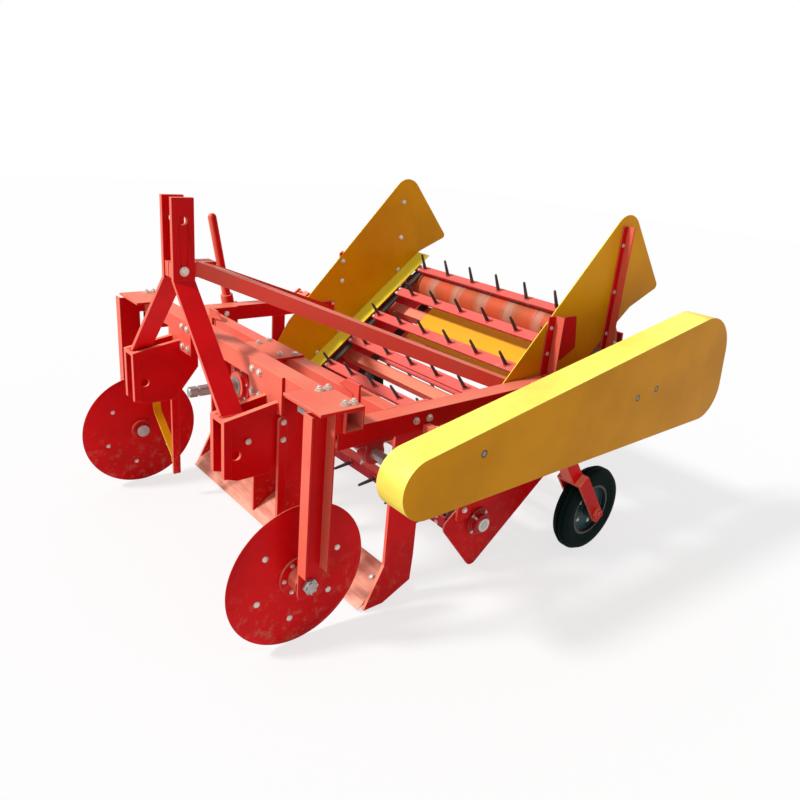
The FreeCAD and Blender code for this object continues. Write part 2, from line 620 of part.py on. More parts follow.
def elevator_side(side, sign):
    """Deep side plate of the elevator, cut level with the top of the frame."""
    low, high = value("side_plate_low"), value("side_plate_high")
    front, corner = value("side_plate_front"), value("side_plate_corner")
    rear = value("elevator_length + side_plate_rear")
    tilt = math.radians(value("tilt"))
    drop = value("frame_top - lower_shaft_height")
    top_s = (drop - high * math.cos(tilt)) / math.sin(tilt)
    rear_n = (drop - rear * math.sin(tilt)) / math.cos(tilt)
    corners = [(front, high, corner), (front, -low, corner), (-rear, -low, corner),
               (-rear, rear_n, 0), (-top_s, high, corner)]
    inner = value("sheet_outer")
    shape = panel(corners, inner, inner + value("side_plate"))
    hole = rod((0, 0, 0), (0, inner * 2, 0), value("cross_shaft_radius + bolt_clearance"))
    solid(side + "_elevator_side", mirrored(on_elevator(shape.cut(hole)), sign))


def elevator_hangers():
    """Flat bars from the rails down to the side plates."""
    inner, half = value("rail_inner"), value("hanger_width / 2")
    bars = []
    for x, low in ((value("lower_x + front_hanger_lead"), value("front_hanger_low")),
                   (value("lower_x - rear_hanger_trail"), value("rear_hanger_low"))):
        bar = block((x - half, inner, low), (x + half, inner + value("hanger_plate"), value("rail_bottom")))
        bars += [bar, mirrored(bar, -1)]
    solid("elevator_hangers", *bars)


def elevator_cross_tubes():
    """Two square tubes between the side plates, inside the slat loop."""
    half, wall = value("cross_tube_size / 2"), value("cross_tube_wall")
    reach, sink = value("sheet_outer"), value("cross_tube_sink")
    tubes = []
    for share in (value("low_tube_share"), value("high_tube_share")):
        x = -share * value("elevator_length")
        outer = block((x - half, -reach, -sink - half), (x + half, reach, -sink + half))
        inner = block((x - half + wall, -reach, wall - sink - half),
                      (x + half - wall, reach, half - sink - wall))
        tubes.append(on_elevator(outer.cut(inner)))
    solid("elevator_cross_tubes", *tubes)


def elevator_deck():
    """Tray under the upper run of slats, on the upper cross tube."""
    low = value("cross_tube_size / 2 - cross_tube_sink + deck_gap")
    half, length = value("deck_half_width"), value("elevator_length")
    shape = block((value("deck_trail") - length, -half, low),
                  (value("deck_lead") - length, half, low + value("deck_thickness")))
    solid("elevator_deck", on_elevator(shape))


def elevator_shaft(label, x, height, radius, ends, drum):
    """Shaft with the two belt rollers that it carries, and a drum between them if it has one."""
    half, offset = value("roller_length / 2"), value("belt_offset")
    roller = value("pulley_radius")
    pieces = [rod((0, y - half, 0), (0, y + half, 0), roller) for y in (-offset, offset)]
    if drum:
        pieces.append(rod((0, half - offset, 0), (0, offset - half, 0), drum))
    left_end, right_end = (value(end) for end in ends)
    shape = rod((0, -right_end, 0), (0, left_end, 0), value(radius)).fuse(pieces)
    shape.translate(VECTOR(x, 0, height))
    solid(label, shape)


def elevator_belts():
    """Two endless belts that carry the slats."""
    radius = value("pulley_radius + belt_gap")
    circles = [(0, 0, radius), (-value("elevator_length"), 0, radius)]
    half, offset = value("belt_width / 2"), value("belt_offset")
    belts = [ring(circles, value("belt_thickness"), y - half, y + half) for y in (-offset, offset)]
    solid("elevator_belts", *[on_elevator(belt) for belt in belts])


def loop_station(distance):
    """Point and outward angle at a distance along the slat loop, drawn along the elevator."""
    radius, run = value("belt_radius"), value("elevator_length")
    bend = math.pi * radius
    distance = distance % (2 * run + 2 * bend)
    if distance < run:
        return -distance, radius, 0.0
    if distance < run + bend:
        angle = -(distance - run) / radius
        return -run + radius * math.sin(angle), radius * math.cos(angle), math.degrees(angle)
    if distance < 2 * run + bend:
        return -run + (distance - run - bend), -radius, 180.0
    angle = math.pi - (distance - 2 * run - bend) / radius
    return radius * math.sin(angle), radius * math.cos(angle), math.degrees(angle)


def spiked_slat(spikes):
    """Flat slat with a row of spikes at an even pitch about its middle."""
    half_width, reach = value("slat_width / 2"), value("slat_half_length")
    thickness = value("slat_thickness")
    slat = block((-half_width, -reach, 0), (half_width, reach, thickness))
    cones = []
    for index in range(spikes):
        y = (index - (spikes - 1) / 2) * value("spike_pitch")
        cones.append(Part.makeCone(value("spike_radius"), value("spike_tip"), value("spike_length"),
                                   VECTOR(0, y, thickness)))
    return slat.fuse(cones)


def spiked_slats():
    """Slats at an even pitch round the loop, their spikes staggered from one slat to the next."""
    spikes, slats = int(value("spike_count")), int(value("slat_count"))
    pair = [spiked_slat(spikes), spiked_slat(spikes - 1)]
    total = 2 * value("elevator_length") + 2 * math.pi * value("belt_radius")
    copies = []
    for index in range(slats):
        x, z, angle = loop_station((index + value("slat_phase")) * total / slats)
        copy = pair[(index + 1) % 2].copy()
        copy.Placement = FreeCAD.Placement(VECTOR(x, 0, z), FreeCAD.Rotation(VECTOR(0, 1, 0), angle))
        copies.append(on_elevator(copy))
    solid("spiked_slats", *copies)


# ---- side sheets -------------------------------------------------------------------------------

def side_sheet(side, sign):
    """Sheet that stands beside the slats, with a wide lip turned in over their ends."""
    low, front = value("sheet_low"), value("sheet_front")
    length, lean = value("elevator_length"), value("sheet_nose_lean")
    rear, tail = length + value("sheet_rear"), length + value("sheet_tail_lead")
    shoulder, corner, bend = value("sheet_shoulder"), value("sheet_corner"), value("sheet_bend")
    corners = [(-front, low, corner), (lean - front, low + value("sheet_nose_rise"), bend),
               (-lean - front, low + value("sheet_cheek_rise"), bend),
               (-front - value("sheet_brow"), shoulder - value("sheet_brow_drop"), bend),
               (-front - value("sheet_shoulder_lead"), shoulder, value("sheet_shoulder_round")),
               (value("sheet_crown_lead") - rear, value("sheet_crown"), value("sheet_crown_round")),
               (-rear, value("sheet_tail"), corner), (-tail, low, bend)]
    inner, thickness = value("elevator_half_width"), value("sheet_thickness")
    sheet = panel(corners, inner, inner + thickness)
    lip = block((corner - tail, inner - value("sheet_lip"), low), (-front - corner, inner, low + thickness))
    solid(side + "_side_sheet", mirrored(on_elevator(sheet.fuse(lip)), sign))


def angle_post(x, size, top):
    """Upright angle on the rail: one leg against the sheet, the other outwards."""
    inner, wall = value("sheet_outer"), value("post_wall")
    base = value("frame_top")
    web = block((x, inner, base), (x + size, inner + wall, top))
    leg = block((x, inner, base), (x + wall, inner + size, top))
    return web.fuse(leg).removeSplitter()


def sheet_posts(side, sign):
    """Two angle posts on the rail up the outside of the side sheet, the front one with a gusset."""
    base = value("frame_top")
    front_x = value("lower_x - front_post_trail")
    front = angle_post(front_x, value("post_size"), base + value("front_post_rise"))
    high, low, corner = base + value("gusset_high"), base + value("gusset_low"), value("gusset_corner")
    far_x, inner = front_x - value("gusset_reach"), value("sheet_outer")
    gusset = panel([(front_x, high, 0), (far_x + value("gusset_slant"), high, corner),
                    (far_x, high - value("gusset_side"), corner),
                    (front_x - value("gusset_toe"), low, corner), (front_x, low, 0)],
                   inner, inner + value("gusset_plate"))
    rear = angle_post(value("upper_x + rear_post_lead"), value("rear_post_size"),
                      base + value("rear_post_rise"))
    solid(side + "_sheet_posts", mirrored(front.fuse(gusset), sign), mirrored(rear, sign))


# ---- gearbox and drive -------------------------------------------------------------------------

def gearbox():
    """Right-angle gearbox hung by its feet, with an input and an output boss."""
    body = new_body("gearbox")
    sketch = new_sketch(body, "YZ_Plane")
    half, low = "gearbox_width / 2", "drive_height - gearbox_height / 2"
    foot, reach = "frame_top - gearbox_foot", half + " + gearbox_foot_reach"
    waist = half + " - gearbox_waist"
    shoulder = "drive_height + boss_wall * 2"
    points = [(reach, foot), (reach, "frame_top")]
    left = [(half + " - gearbox_chamfer", low), (half, low + " + gearbox_chamfer"), (half, shoulder),
            (waist + " + gearbox_slope", shoulder + " + gearbox_slope"), (waist, foot)] + points
    outline(sketch, left + [("-(%s)" % y, z) for y, z in left[::-1]])
    pad(body, sketch, "gearbox_length")
    boss = new_sketch(body, "YZ_Plane")
    round_hole(boss, 0, "drive_height", "input_radius + boss_wall")
    pad(body, boss, "gearbox_length / 2 + boss_length", both_ways=False)
    boss = new_sketch(body, "XZ_Plane")
    round_hole(boss, 0, "drive_height", "cross_shaft_radius + boss_wall")
    feature = pad(body, boss, "gearbox_width / 2 + boss_length", both_ways=False)
    feature.Reversed = True
    doc.recompute()
    place(body, "drive_x", 0, 0)


def gearbox_mount():
    """Plate from the cross tube to the beam that the gearbox hangs from."""
    points = box_points("tube_rear", "beam_rear", "frame_top", "frame_top + mount_plate")
    body = plate("gearbox_mount", points, "gearbox_width + 2 * mount_overhang")
    place(body, 0, 0, 0)


def input_shaft():
    """Input shaft that passes under the beam to the tractor's drive."""
    start = value("drive_x + gearbox_length / 2 + boss_length")
    end = start + value("input_reach")
    shoulder = end - value("spline_length")
    height = value("drive_height")
    shaft = rod((start, 0, height), (shoulder, 0, height), value("input_radius"))
    spline = rod((shoulder, 0, height), (end, 0, height), value("spline_radius"))
    solid("input_shaft", shaft.fuse(spline))


def cross_shaft():
    """Output shaft from the gearbox, under the left rail, to the front pulley."""
    x, height = value("drive_x"), value("drive_height")
    solid("cross_shaft", rod((x, value("gearbox_width / 2 + boss_length"), height),
                             (x, value("guard_inner - pulley_inset"), height), value("cross_shaft_radius")))


def pillow_block(x, shaft_height, base, bore):
    """Bearing housing with a foot on the rail's face and a round boss about the shaft."""
    up = 1 if shaft_height > base else -1
    y, half, web_half = value("rail_middle"), value("housing_half"), value("housing_web_half")
    foot_half, radius = value("housing_foot_half"), value("housing_radius")
    foot_low, foot_high = sorted((base, base + up * value("housing_foot")))
    web_low, web_high = sorted((base, shaft_height))
    far_low, far_high = sorted((base, base + up * radius * 4))
    pieces = [block((x - foot_half, y - half, foot_low), (x + foot_half, y + half, foot_high)),
              block((x - web_half, y - half, web_low), (x + web_half, y + half, web_high))]
    shape = rod((x, y - half, shaft_height), (x, y + half, shaft_height), radius).fuse(pieces)
    shape = shape.common(block((x - foot_half, y - half, far_low), (x + foot_half, y + half, far_high)))
    return shape.cut(rod((x, y - radius, shaft_height), (x, y + radius, shaft_height), bore))


def flange_bearing(bore):
    """Round bearing housing of the lower shaft, on the left elevator side."""
    x, y, height = value("lower_x"), value("rail_inner"), value("lower_shaft_height")
    face, end = y + value("flange_plate"), y + value("flange_boss")
    shape = rod((x, y, height), (x, face, height), value("flange_radius"))
    shape = shape.fuse(rod((x, face, height), (x, end, height), value("housing_radius")))
    return shape.cut(rod((x, 0, height), (x, end * 2, height), bore))


def shaft_bearings():
    """Bearings of the cross shaft, the upper shaft and the lower shaft."""
    drive_bore = value("cross_shaft_radius + bearing_gap")
    drive = pillow_block(value("drive_x"), value("drive_height"), value("rail_bottom"), drive_bore)
    upper_bore = value("shaft_radius + bearing_gap")
    upper = pillow_block(value("upper_x"), value("upper_height"), value("frame_top"), upper_bore)
    lower = flange_bearing(drive_bore)
    solid("shaft_bearings", drive, upper, mirrored(upper, -1), lower, mirrored(lower, -1))


def drive_pulley(label, x, height, radius, bore):
    """Two-groove belt pulley on its shaft."""
    half, groove, flare = "pulley_width / 2", "drive_belt / 2", "groove_flare"
    inner, floor = bore + " + bearing_gap", radius + " - groove_depth"
    points = [(inner, "-" + half), (radius, "-" + half)]
    for middle in ("-drive_belt_gap / 2", "drive_belt_gap / 2"):
        points += [(radius, "%s - %s - %s" % (middle, groove, flare)),
                   (floor, "%s - %s + %s" % (middle, groove, flare)),
                   (floor, "%s + %s - %s" % (middle, groove, flare)),
                   (radius, "%s + %s + %s" % (middle, groove, flare))]
    points += [(radius, half), (inner, half)]
    place(turned(label, points), x, "pulley_offset", height)


def drive_belts():
    """Pair of belts from the front pulley to the upper elevator shaft, in the pulley grooves."""
    depth = value("groove_depth - drive_belt_fit")
    circles = [(value("upper_x"), value("upper_height"), value("large_pulley") - depth),
               (value("drive_x"), value("drive_height"), value("small_pulley") - depth)]
    half = value("drive_belt / 2 - groove_flare - drive_belt_fit")
    belts = []
    for middle in (value("pulley_offset - drive_belt_gap / 2"), value("pulley_offset + drive_belt_gap / 2")):
        belts.append(ring(circles, value("drive_belt_thickness"), middle - half, middle + half))
    solid("drive_belts", *belts)


def drive_guard():
    """Pressed guard over the belts: a closed outer face and a deep rim, open to the machine."""
    low_radius = value("guard_low_radius")
    floor = value("drive_height - guard_front_radius + guard_low_rise")
    circles = [(value("drive_x + guard_nose"), value("drive_height"), value("guard_front_radius")),
               (value("upper_x - guard_high_reach"), value("upper_height + guard_high_rise"),
                value("guard_high_radius")),
               (value("upper_x - guard_low_reach"), floor + low_radius, low_radius)]
    outer, wall = value("guard_offset"), value("guard_wall")
    rim = outer - value("guard_depth")
    shell = slab(circles, rim, outer)
    solid("drive_guard", shell.cut(slab(shrunk(circles, wall), rim - wall, outer - wall)))


def guard_arms():
    """Three bars from the left rail out to the guard's face."""
    half = value("guard_arm / 2")
    start, end = value("rail_outer"), value("guard_inner")
    bars = []
    for x, height in ((value("lower_x + front_arm_lead"), value("rail_bottom + front_arm_rise")),
                      (value("upper_x + middle_arm_lead"), value("frame_top - rear_arm_drop")),
                      (value("upper_x + rear_arm_lead"), value("frame_top - rear_arm_drop"))):
        bars.append(block((x - half, start, height - half), (x + half, end, height + half)))
    solid("guard_arms", *bars)


# ---- gauge wheels ------------------------------------------------------------------------------

def gauge_tyre(side, sign):
    """Narrow solid tyre with rounded shoulders."""
    inner, outer, half = "rim_diameter / 2 + rim_gap", "wheel_radius", "tyre_width / 2"
    bead, shoulder, crown = half + " - rim_gap - axle_end", half + " - tyre_shoulder", half + " - axle_end"
    points = [(inner, bead), (outer + " - tyre_bulge", half), (outer + " - tyre_crown", crown),
              (outer, shoulder)]
    lower = [(r, "-(%s)" % y) for r, y in points]
    body = turned(side + "_gauge_tyre", lower + points[::-1])
    place(body, "wheel_x", "%d * wheel_offset" % sign, "wheel_radius")


def gauge_rim(side, sign):
    """Pressed wheel disc and hub inside the tyre."""
    bore, rim, half = "wheel_axle + running_clearance", "rim_diameter / 2", "tyre_width / 2"
    inside, hub, web = rim + " - rim_flange", "wheel_hub_radius", "rim_web / 2"
    points = [(bore, half + " + wheel_hub_reach"), (hub, half + " + wheel_hub_reach"), (hub, web),
              (inside, web), (inside, half + " - rim_flange"), (rim, half + " - rim_flange")]
    lower = [(r, "-(%s)" % y) for r, y in points]
    body = turned(side + "_gauge_rim", lower + points[::-1])
    place(body, "wheel_x", "%d * wheel_offset" % sign, "wheel_radius")


def wheel_fork(side, sign):
    """Raked fork: axle, two legs, crown and a square stem with a shoe on the side rail."""
    legs_in, plate_t = value("tyre_width / 2 + fork_gap"), value("fork_plate")
    half, toe = value("fork_width / 2"), value("fork_toe")
    crown = value("wheel_radius + tyre_clearance")
    pieces = []
    for y in (legs_in, -legs_in - plate_t):
        leg = slab([(0, -toe, half), (0, crown, half)], y, y + plate_t)
        pieces.append(leg.common(block((-half, y, -half - toe), (half, y + plate_t, crown))))
    pieces.append(block((-half, -legs_in - plate_t, crown), (half, legs_in + plate_t, crown + plate_t)))
    stem = value("stem_size / 2")
    pieces.append(block((-stem, -stem, crown + plate_t), (stem, stem, value("stem_top"))))
    wheel = value("wheel_radius")
    middle = (value("stand_height") - wheel) / math.cos(math.radians(value("fork_tilt")))
    shoe, rise = value("fork_shoe / 2"), value("fork_shoe_height / 2")
    pieces.append(block((-shoe, -value("wheel_gap"), middle - rise), (shoe, -stem, middle + rise)))
    pieces.append(rod((0, -legs_in - plate_t - value("axle_end"), 0), (0, value("wheel_stub"), 0),
                      value("wheel_axle")))
    shape = pieces[0].fuse(pieces[1:])
    shape.rotate(VECTOR(), VECTOR(0, 1, 0), value("fork_tilt"))
    shape.translate(VECTOR(value("wheel_x"), value("wheel_offset"), wheel))
    solid(side + "_wheel_fork", mirrored(shape, sign))


# ---- parking stand -----------------------------------------------------------------------------

def raked(shape):
    """Lean a shape drawn about the stand's sleeve and set it outside the right rail."""
    shape.rotate(VECTOR(), VECTOR(0, 1, 0), value("stand_tilt"))
    shape.translate(VECTOR(value("stand_x"), -value("stand_offset"), value("stand_height")))
    return shape


def stand_sleeve():
    """Sleeve that the stand slides in, with a shoe on the rail."""
    half, shoe, rise = value("sleeve_half"), value("sleeve_shoe / 2"), value("sleeve_shoe_height / 2")
    reach = value("stand_gap")
    shape = rod((0, 0, -half), (0, 0, half), value("sleeve_radius"))
    shape = shape.fuse(block((-shoe, reach - value("sleeve_shoe_plate"), -rise), (shoe, reach, rise)))
    shape = shape.cut(rod((0, 0, -half), (0, 0, half), value("stand_radius + slide_clearance")))
    solid("stand_sleeve", raked(shape))


def parking_stand():
    """Round leg, raised, with a rounded foot and head."""
    radius = value("stand_radius")
    head, foot = value("stand_up") - radius, radius - value("stand_down")
    leg = rod((0, 0, foot), (0, 0, head), radius)
    ends = [Part.makeSphere(radius, VECTOR(0, 0, end)) for end in (head, foot)]
    solid("parking_stand", raked(leg.fuse(ends)))


# ---- assembly ----------------------------------------------------------------------------------

def build():
    front_beam()
    mid_cross_tube()
    cross_tube_lugs()
    mast_bolt()
    digging_blade()
    inner_shanks()
    elevator_hangers()
    elevator_cross_tubes()
    elevator_deck()
    elevator_shaft("upper_shaft", value("upper_x"), value("upper_height"), "shaft_radius",
                   ("guard_inner - pulley_inset", "rail_outer"), value("drum_radius"))
    elevator_shaft("lower_shaft", value("lower_x"), value("lower_shaft_height"), "cross_shaft_radius",
                   ("rail_inner + shaft_end", "rail_inner + shaft_end"), 0)
    elevator_belts()
    spiked_slats()
    gearbox()
    gearbox_mount()
    input_shaft()
    cross_shaft()
    shaft_bearings()
    drive_pulley("front_pulley", "drive_x", "drive_height", "small_pulley", "cross_shaft_radius")
    drive_pulley("elevator_pulley", "upper_x", "upper_height", "large_pulley", "shaft_radius")
    drive_belts()
    drive_guard()
    guard_arms()
    stand_sleeve()
    parking_stand()
    for side, sign in SIDES:
        side_rail(side, sign)
        mast_bar(side, sign)
        hitch_bracket(side, sign)
        mast_stay(side, sign)
        coulter_arm(side, sign)
        coulter_axle(side, sign)
        coulter_disc(side, sign)
        side_shank(side, sign)
        elevator_side(side, sign)
        side_sheet(side, sign)
        sheet_posts(side, sign)
        gauge_tyre(side, sign)
        gauge_rim(side, sign)
        wheel_fork(side, sign)
    doc.recompute()


def export():
    """Check every object and every shape, then write one STEP file for each sub-part."""
    for item in doc.Objects:
        if "Invalid" in item.State or "Error" in item.State:
            raise RuntimeError("%s failed: %s" % (item.Label, item.State))
    nodes = [item for item in doc.Objects if item.TypeId in ("PartDesign::Body", "Part::Feature")]
    for item in nodes:
        if item.Shape.isNull() or not item.Shape.isValid() or not item.Shape.Solids:
            raise RuntimeError("bad shape: " + item.Label)
    os.makedirs("parts", exist_ok=True)
    for item in nodes:
        item.Shape.exportStep(os.path.join("parts", item.Label + ".step"))
    print(len(nodes), "nodes written")


build()
export()
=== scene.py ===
"""Looks of the groundnut digger: its finishes, fastenings, welds and tread, and the studio round it."""

import json
import math

import bmesh
import bpy
from mathutils import Matrix, Vector


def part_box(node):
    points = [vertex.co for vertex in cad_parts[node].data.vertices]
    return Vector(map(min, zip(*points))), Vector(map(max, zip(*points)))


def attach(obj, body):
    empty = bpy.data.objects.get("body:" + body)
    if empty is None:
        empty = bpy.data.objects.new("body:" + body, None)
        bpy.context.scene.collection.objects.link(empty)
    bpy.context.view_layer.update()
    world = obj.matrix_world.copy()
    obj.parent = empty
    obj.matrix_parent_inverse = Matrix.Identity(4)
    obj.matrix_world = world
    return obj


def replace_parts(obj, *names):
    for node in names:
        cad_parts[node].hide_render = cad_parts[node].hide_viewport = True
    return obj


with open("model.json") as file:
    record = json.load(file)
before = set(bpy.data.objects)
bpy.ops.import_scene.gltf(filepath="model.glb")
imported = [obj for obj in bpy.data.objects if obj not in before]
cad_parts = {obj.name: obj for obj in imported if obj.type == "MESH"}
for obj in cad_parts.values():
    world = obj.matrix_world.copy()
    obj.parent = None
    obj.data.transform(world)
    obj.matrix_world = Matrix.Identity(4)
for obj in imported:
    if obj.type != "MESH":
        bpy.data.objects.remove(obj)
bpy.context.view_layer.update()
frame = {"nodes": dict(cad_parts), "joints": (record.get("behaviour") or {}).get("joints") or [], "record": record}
nodes = frame["nodes"]
joints = {joint["name"]: joint for joint in frame["joints"]}
mounts = {mount["name"]: mount for mount in frame["record"]["mounts"]}
scene = bpy.context.scene

SIDES = (("left", 1), ("right", -1))
SIGNS = (1, -1)
CENTRE = mounts["top_link"]["pos_m"][1]
ALONG, ACROSS, UP = Vector((1, 0, 0)), Vector((0, 1, 0)), Vector((0, 0, 1))


# ---- shader sums -------------------------------------------------------------------------------

def operation(name, flipped=False):
    """Method that adds a Math node for one Python operator."""
    def apply(self, other):
        terms = (other, self) if flipped else (self, other)
        return self.finish.node("Math", {"operation": name}, dict(enumerate(terms)))
    return apply


class Value:
    """A shader socket that sums can be written with."""

    def __init__(self, finish, socket):
        self.finish = finish
        self.socket = socket

    __add__ = operation("ADD")
    __radd__ = operation("ADD", True)
    __sub__ = operation("SUBTRACT")
    __rsub__ = operation("SUBTRACT", True)
    __mul__ = operation("MULTIPLY")
    __rmul__ = operation("MULTIPLY", True)
    __pow__ = operation("POWER")

    def held(self):
        """The value kept between 0 and 1."""
        return self.finish.node("Clamp", {}, {"Value": self})

    def over(self, low, high):
        """0 below the low value, 1 above the high one, with a smooth step between."""
        settings = {"interpolation_type": "SMOOTHSTEP"}
        return self.finish.node("MapRange", settings, {"Value": self, "From Min": low, "From Max": high})


class Finish:
    """A material, or the world, whose nodes are written as sums."""

    def __init__(self, owner):
        owner.use_nodes = True
        self.owner = owner
        self.tree = owner.node_tree
        self.tree.nodes.clear()

    def node(self, kind, settings, inputs, output=0):
        """New node from its type, its settings and the values or links of its sockets."""
        made = self.tree.nodes.new("ShaderNode" + kind)
        for name, setting in settings.items():
            setattr(made, name, setting)
        for name, given in inputs.items():
            if isinstance(given, Value):
                self.tree.links.new(given.socket, made.inputs[name])
            else:
                made.inputs[name].default_value = given
        return Value(self, made.outputs[output]) if made.outputs else made

    def place(self):
        """Spot on the object, in metres."""
        return self.node("TexCoord", {}, {}, "Object")

    def height(self):
        """Height above the floor."""
        return self.node("SeparateXYZ", {}, {0: self.place()}, "Z")

    def noise(self, scale, detail=3.0, rough=0.55, stretch=(1, 1, 1)):
        """Noise fixed to the object, finer as the scale grows."""
        spot = self.node("Mapping", {}, {"Vector": self.place(), "Scale": stretch})
        inputs = {"Vector": spot, "Scale": scale, "Detail": detail, "Roughness": rough}
        return self.node("TexNoise", {}, inputs)

    def blend(self, share, first, second):
        """Colour that goes from the first to the second as the share goes from 0 to 1."""
        return self.node("Mix", {"data_type": "RGBA"}, {0: share, 6: first, 7: second}, 2)

    def facing(self, direction):
        """How far the surface faces one way of the object, from -1 to 1."""
        normal = self.node("TexCoord", {}, {}, "Normal")
        return self.node("VectorMath", {"operation": "DOT_PRODUCT"}, {0: normal, 1: direction}, "Value")

    def edges(self, radius):
        """0 on a flat face, rising towards its edges."""
        rounded = self.node("Bevel", {"samples": 4}, {"Radius": radius})
        flat = self.node("NewGeometry", {}, {}, "Normal")
        along = self.node("VectorMath", {"operation": "DOT_PRODUCT"}, {0: rounded, 1: flat}, "Value")
        return 1.0 - along

    def bump(self, height, distance):
        """Normal of a surface with a relief of the given depth."""
        return self.node("Bump", {}, {"Height": height, "Distance": distance, "Strength": BUMP_STRENGTH})

    def surface(self, **inputs):
        """Principled shader from its sockets by name, written to the material's output."""
        named = {name.replace("_", " "): given for name, given in inputs.items()}
        shader = self.node("BsdfPrincipled", {}, named)
        self.node("OutputMaterial", {}, {"Surface": shader})
        return self.owner


def colour(red, green, blue):
    """Opaque colour."""
    return (red, green, blue, 1.0)


DUST = colour(0.62, 0.44, 0.30)
EARTH = colour(0.23, 0.125, 0.07)
BARE_STEEL = colour(0.30, 0.27, 0.25)
RUST = colour(0.22, 0.07, 0.03)
BRIGHT_STEEL = colour(0.56, 0.53, 0.50)
DARK_STEEL = colour(0.30, 0.28, 0.27)
RUBBED_EDGE = colour(0.62, 0.58, 0.55)
SCREW_SHADOW = colour(0.05, 0.03, 0.01)

# Widths, heights and the two ends of each smooth step are in metres.
BUMP_STRENGTH = 0.5
SPLASH_HEIGHTS = (0.03, 0.34)
CHIPPED_WIDTH, SCOURED_WIDTH, CAST_WIDTH = 0.004, 0.003, 0.005
SCREW_HEAD, SCREW_RING = (0.007, 0.009), (0.0105, 0.0125)
SHAFT_TO_DRUM = (0.024, 0.030)
BANDS_ON_DRUM = 39.3
CORDS_ON_BELT = 60.0


# ---- finishes ----------------------------------------------------------------------------------

def enamel(name, bright, deep, painted_highlight, top_highlight, front_highlight_and_wear, screws=()):
    """Brushed and sprayed enamel: a painted highlight on the tops, a painted highlight with wear on the leading
    faces, chipped edges, soil low down.
    """
    paint = Finish(bpy.data.materials.new(name))
    patches = paint.noise(3.5, 4.0)
    grain = paint.noise(160.0, 2.0)
    tone = paint.blend(patches.over(0.35, 0.68), bright, deep)
    # Painted highlight: tops, leading faces and faces leaning like the elevator's bed are turned towards the
    # highlight colour; on the leading faces it also stands for wear.
    top = paint.facing((0, 0, 1)).over(0.70, 0.97)
    front = paint.facing((1, 0, 0)).over(0.18, 0.85)
    lean = paint.facing((0.66, 0, 0.75)).over(0.78, 0.98)
    share = (top * top_highlight + front * front_highlight_and_wear + lean * top_highlight) * (patches.over(0.15, 0.75) * 0.5 + 0.5)
    tone = paint.blend(share.held(), tone, painted_highlight)
    splash = (1.0 - paint.height().over(*SPLASH_HEIGHTS)) * paint.noise(34.0, 6.0, 0.7).over(0.50, 0.74)
    dust = (splash * 0.42 + top * paint.noise(9.0, 5.0).over(0.52, 0.8) * 0.2).held()
    tone = paint.blend(dust, tone, paint.blend(grain, EARTH, DUST))
    edge = paint.edges(CHIPPED_WIDTH)
    chips = (edge * 4.0 + paint.noise(55.0, 5.0, 0.7) * 1.5 - 1.45).over(0.0, 0.25)
    tone = paint.blend(chips * 0.7, tone, paint.blend(paint.noise(30.0), RUST, BARE_STEEL))
    rough = 0.34 + patches * 0.12 + dust * 0.45 + chips * 0.25
    relief = grain * 0.18 + dust * grain * 0.8 - chips * 0.5
    for spot in screws:
        away = paint.node("VectorMath", {"operation": "DISTANCE"}, {0: paint.place(), 1: spot}, "Value")
        outside = away.over(*SCREW_HEAD)
        sunk = 1.0 - away.over(*SCREW_RING)
        tone = paint.blend(sunk, tone, paint.blend(outside, BARE_STEEL, SCREW_SHADOW))
        relief = relief - sunk * 2.0 + (1.0 - outside) * 1.6
    return paint.surface(Base_Color=tone, Roughness=rough.held(), Metallic=0.0, Coat_Weight=0.02,
                         Coat_Roughness=0.15, Specular_IOR_Level=0.08, Normal=paint.bump(relief, 0.0006))


def worked_steel(name, light, dark, scratch, metal=0.75, rough=0.34, soil=0.35):
    """Steel polished or scoured by use, with long scratches and soil in patches."""
    steel = Finish(bpy.data.materials.new(name))
    streaks = steel.noise(14.0, 6.0, 0.7, scratch)
    patches = steel.noise(9.0, 4.0)
    tone = steel.blend(streaks.over(0.3, 0.7), dark, light)
    stain = patches.over(0.50, 0.72) * soil
    tone = steel.blend(stain, tone, steel.blend(streaks, EARTH, RUST))
    edge = steel.edges(SCOURED_WIDTH) * 2.2
    tone = steel.blend(edge.held() * 0.6, tone, RUBBED_EDGE)
    return steel.surface(Base_Color=tone, Metallic=(metal - stain * 0.6).held(),
                         Roughness=(rough + streaks * 0.22 + stain * 0.3).held(),
                         Normal=steel.bump(streaks + patches * 0.5, 0.0004))


def slat_paint(name):
    """Dipped paint on the slats, with a painted highlight on the upper faces and dust in patches."""
    paint = Finish(bpy.data.materials.new(name))
    patches = paint.noise(12.0, 5.0, 0.65)
    tone = paint.blend(patches.over(0.35, 0.65), colour(0.66, 0.02, 0.03), colour(0.42, 0.02, 0.03))
    # Painted highlight: upper faces turned towards a pale salmon.
    top = paint.facing((0.62, 0, 0.78)).over(0.55, 0.95)
    tone = paint.blend(top * 0.55, tone, colour(0.92, 0.22, 0.17))
    tone = paint.blend(patches.over(0.6, 0.8) * 0.5, tone, DUST)
    return paint.surface(Base_Color=tone, Metallic=0.0, Roughness=(0.42 + patches * 0.3).held(),
                         Specular_IOR_Level=0.2, Normal=paint.bump(patches, 0.0008))


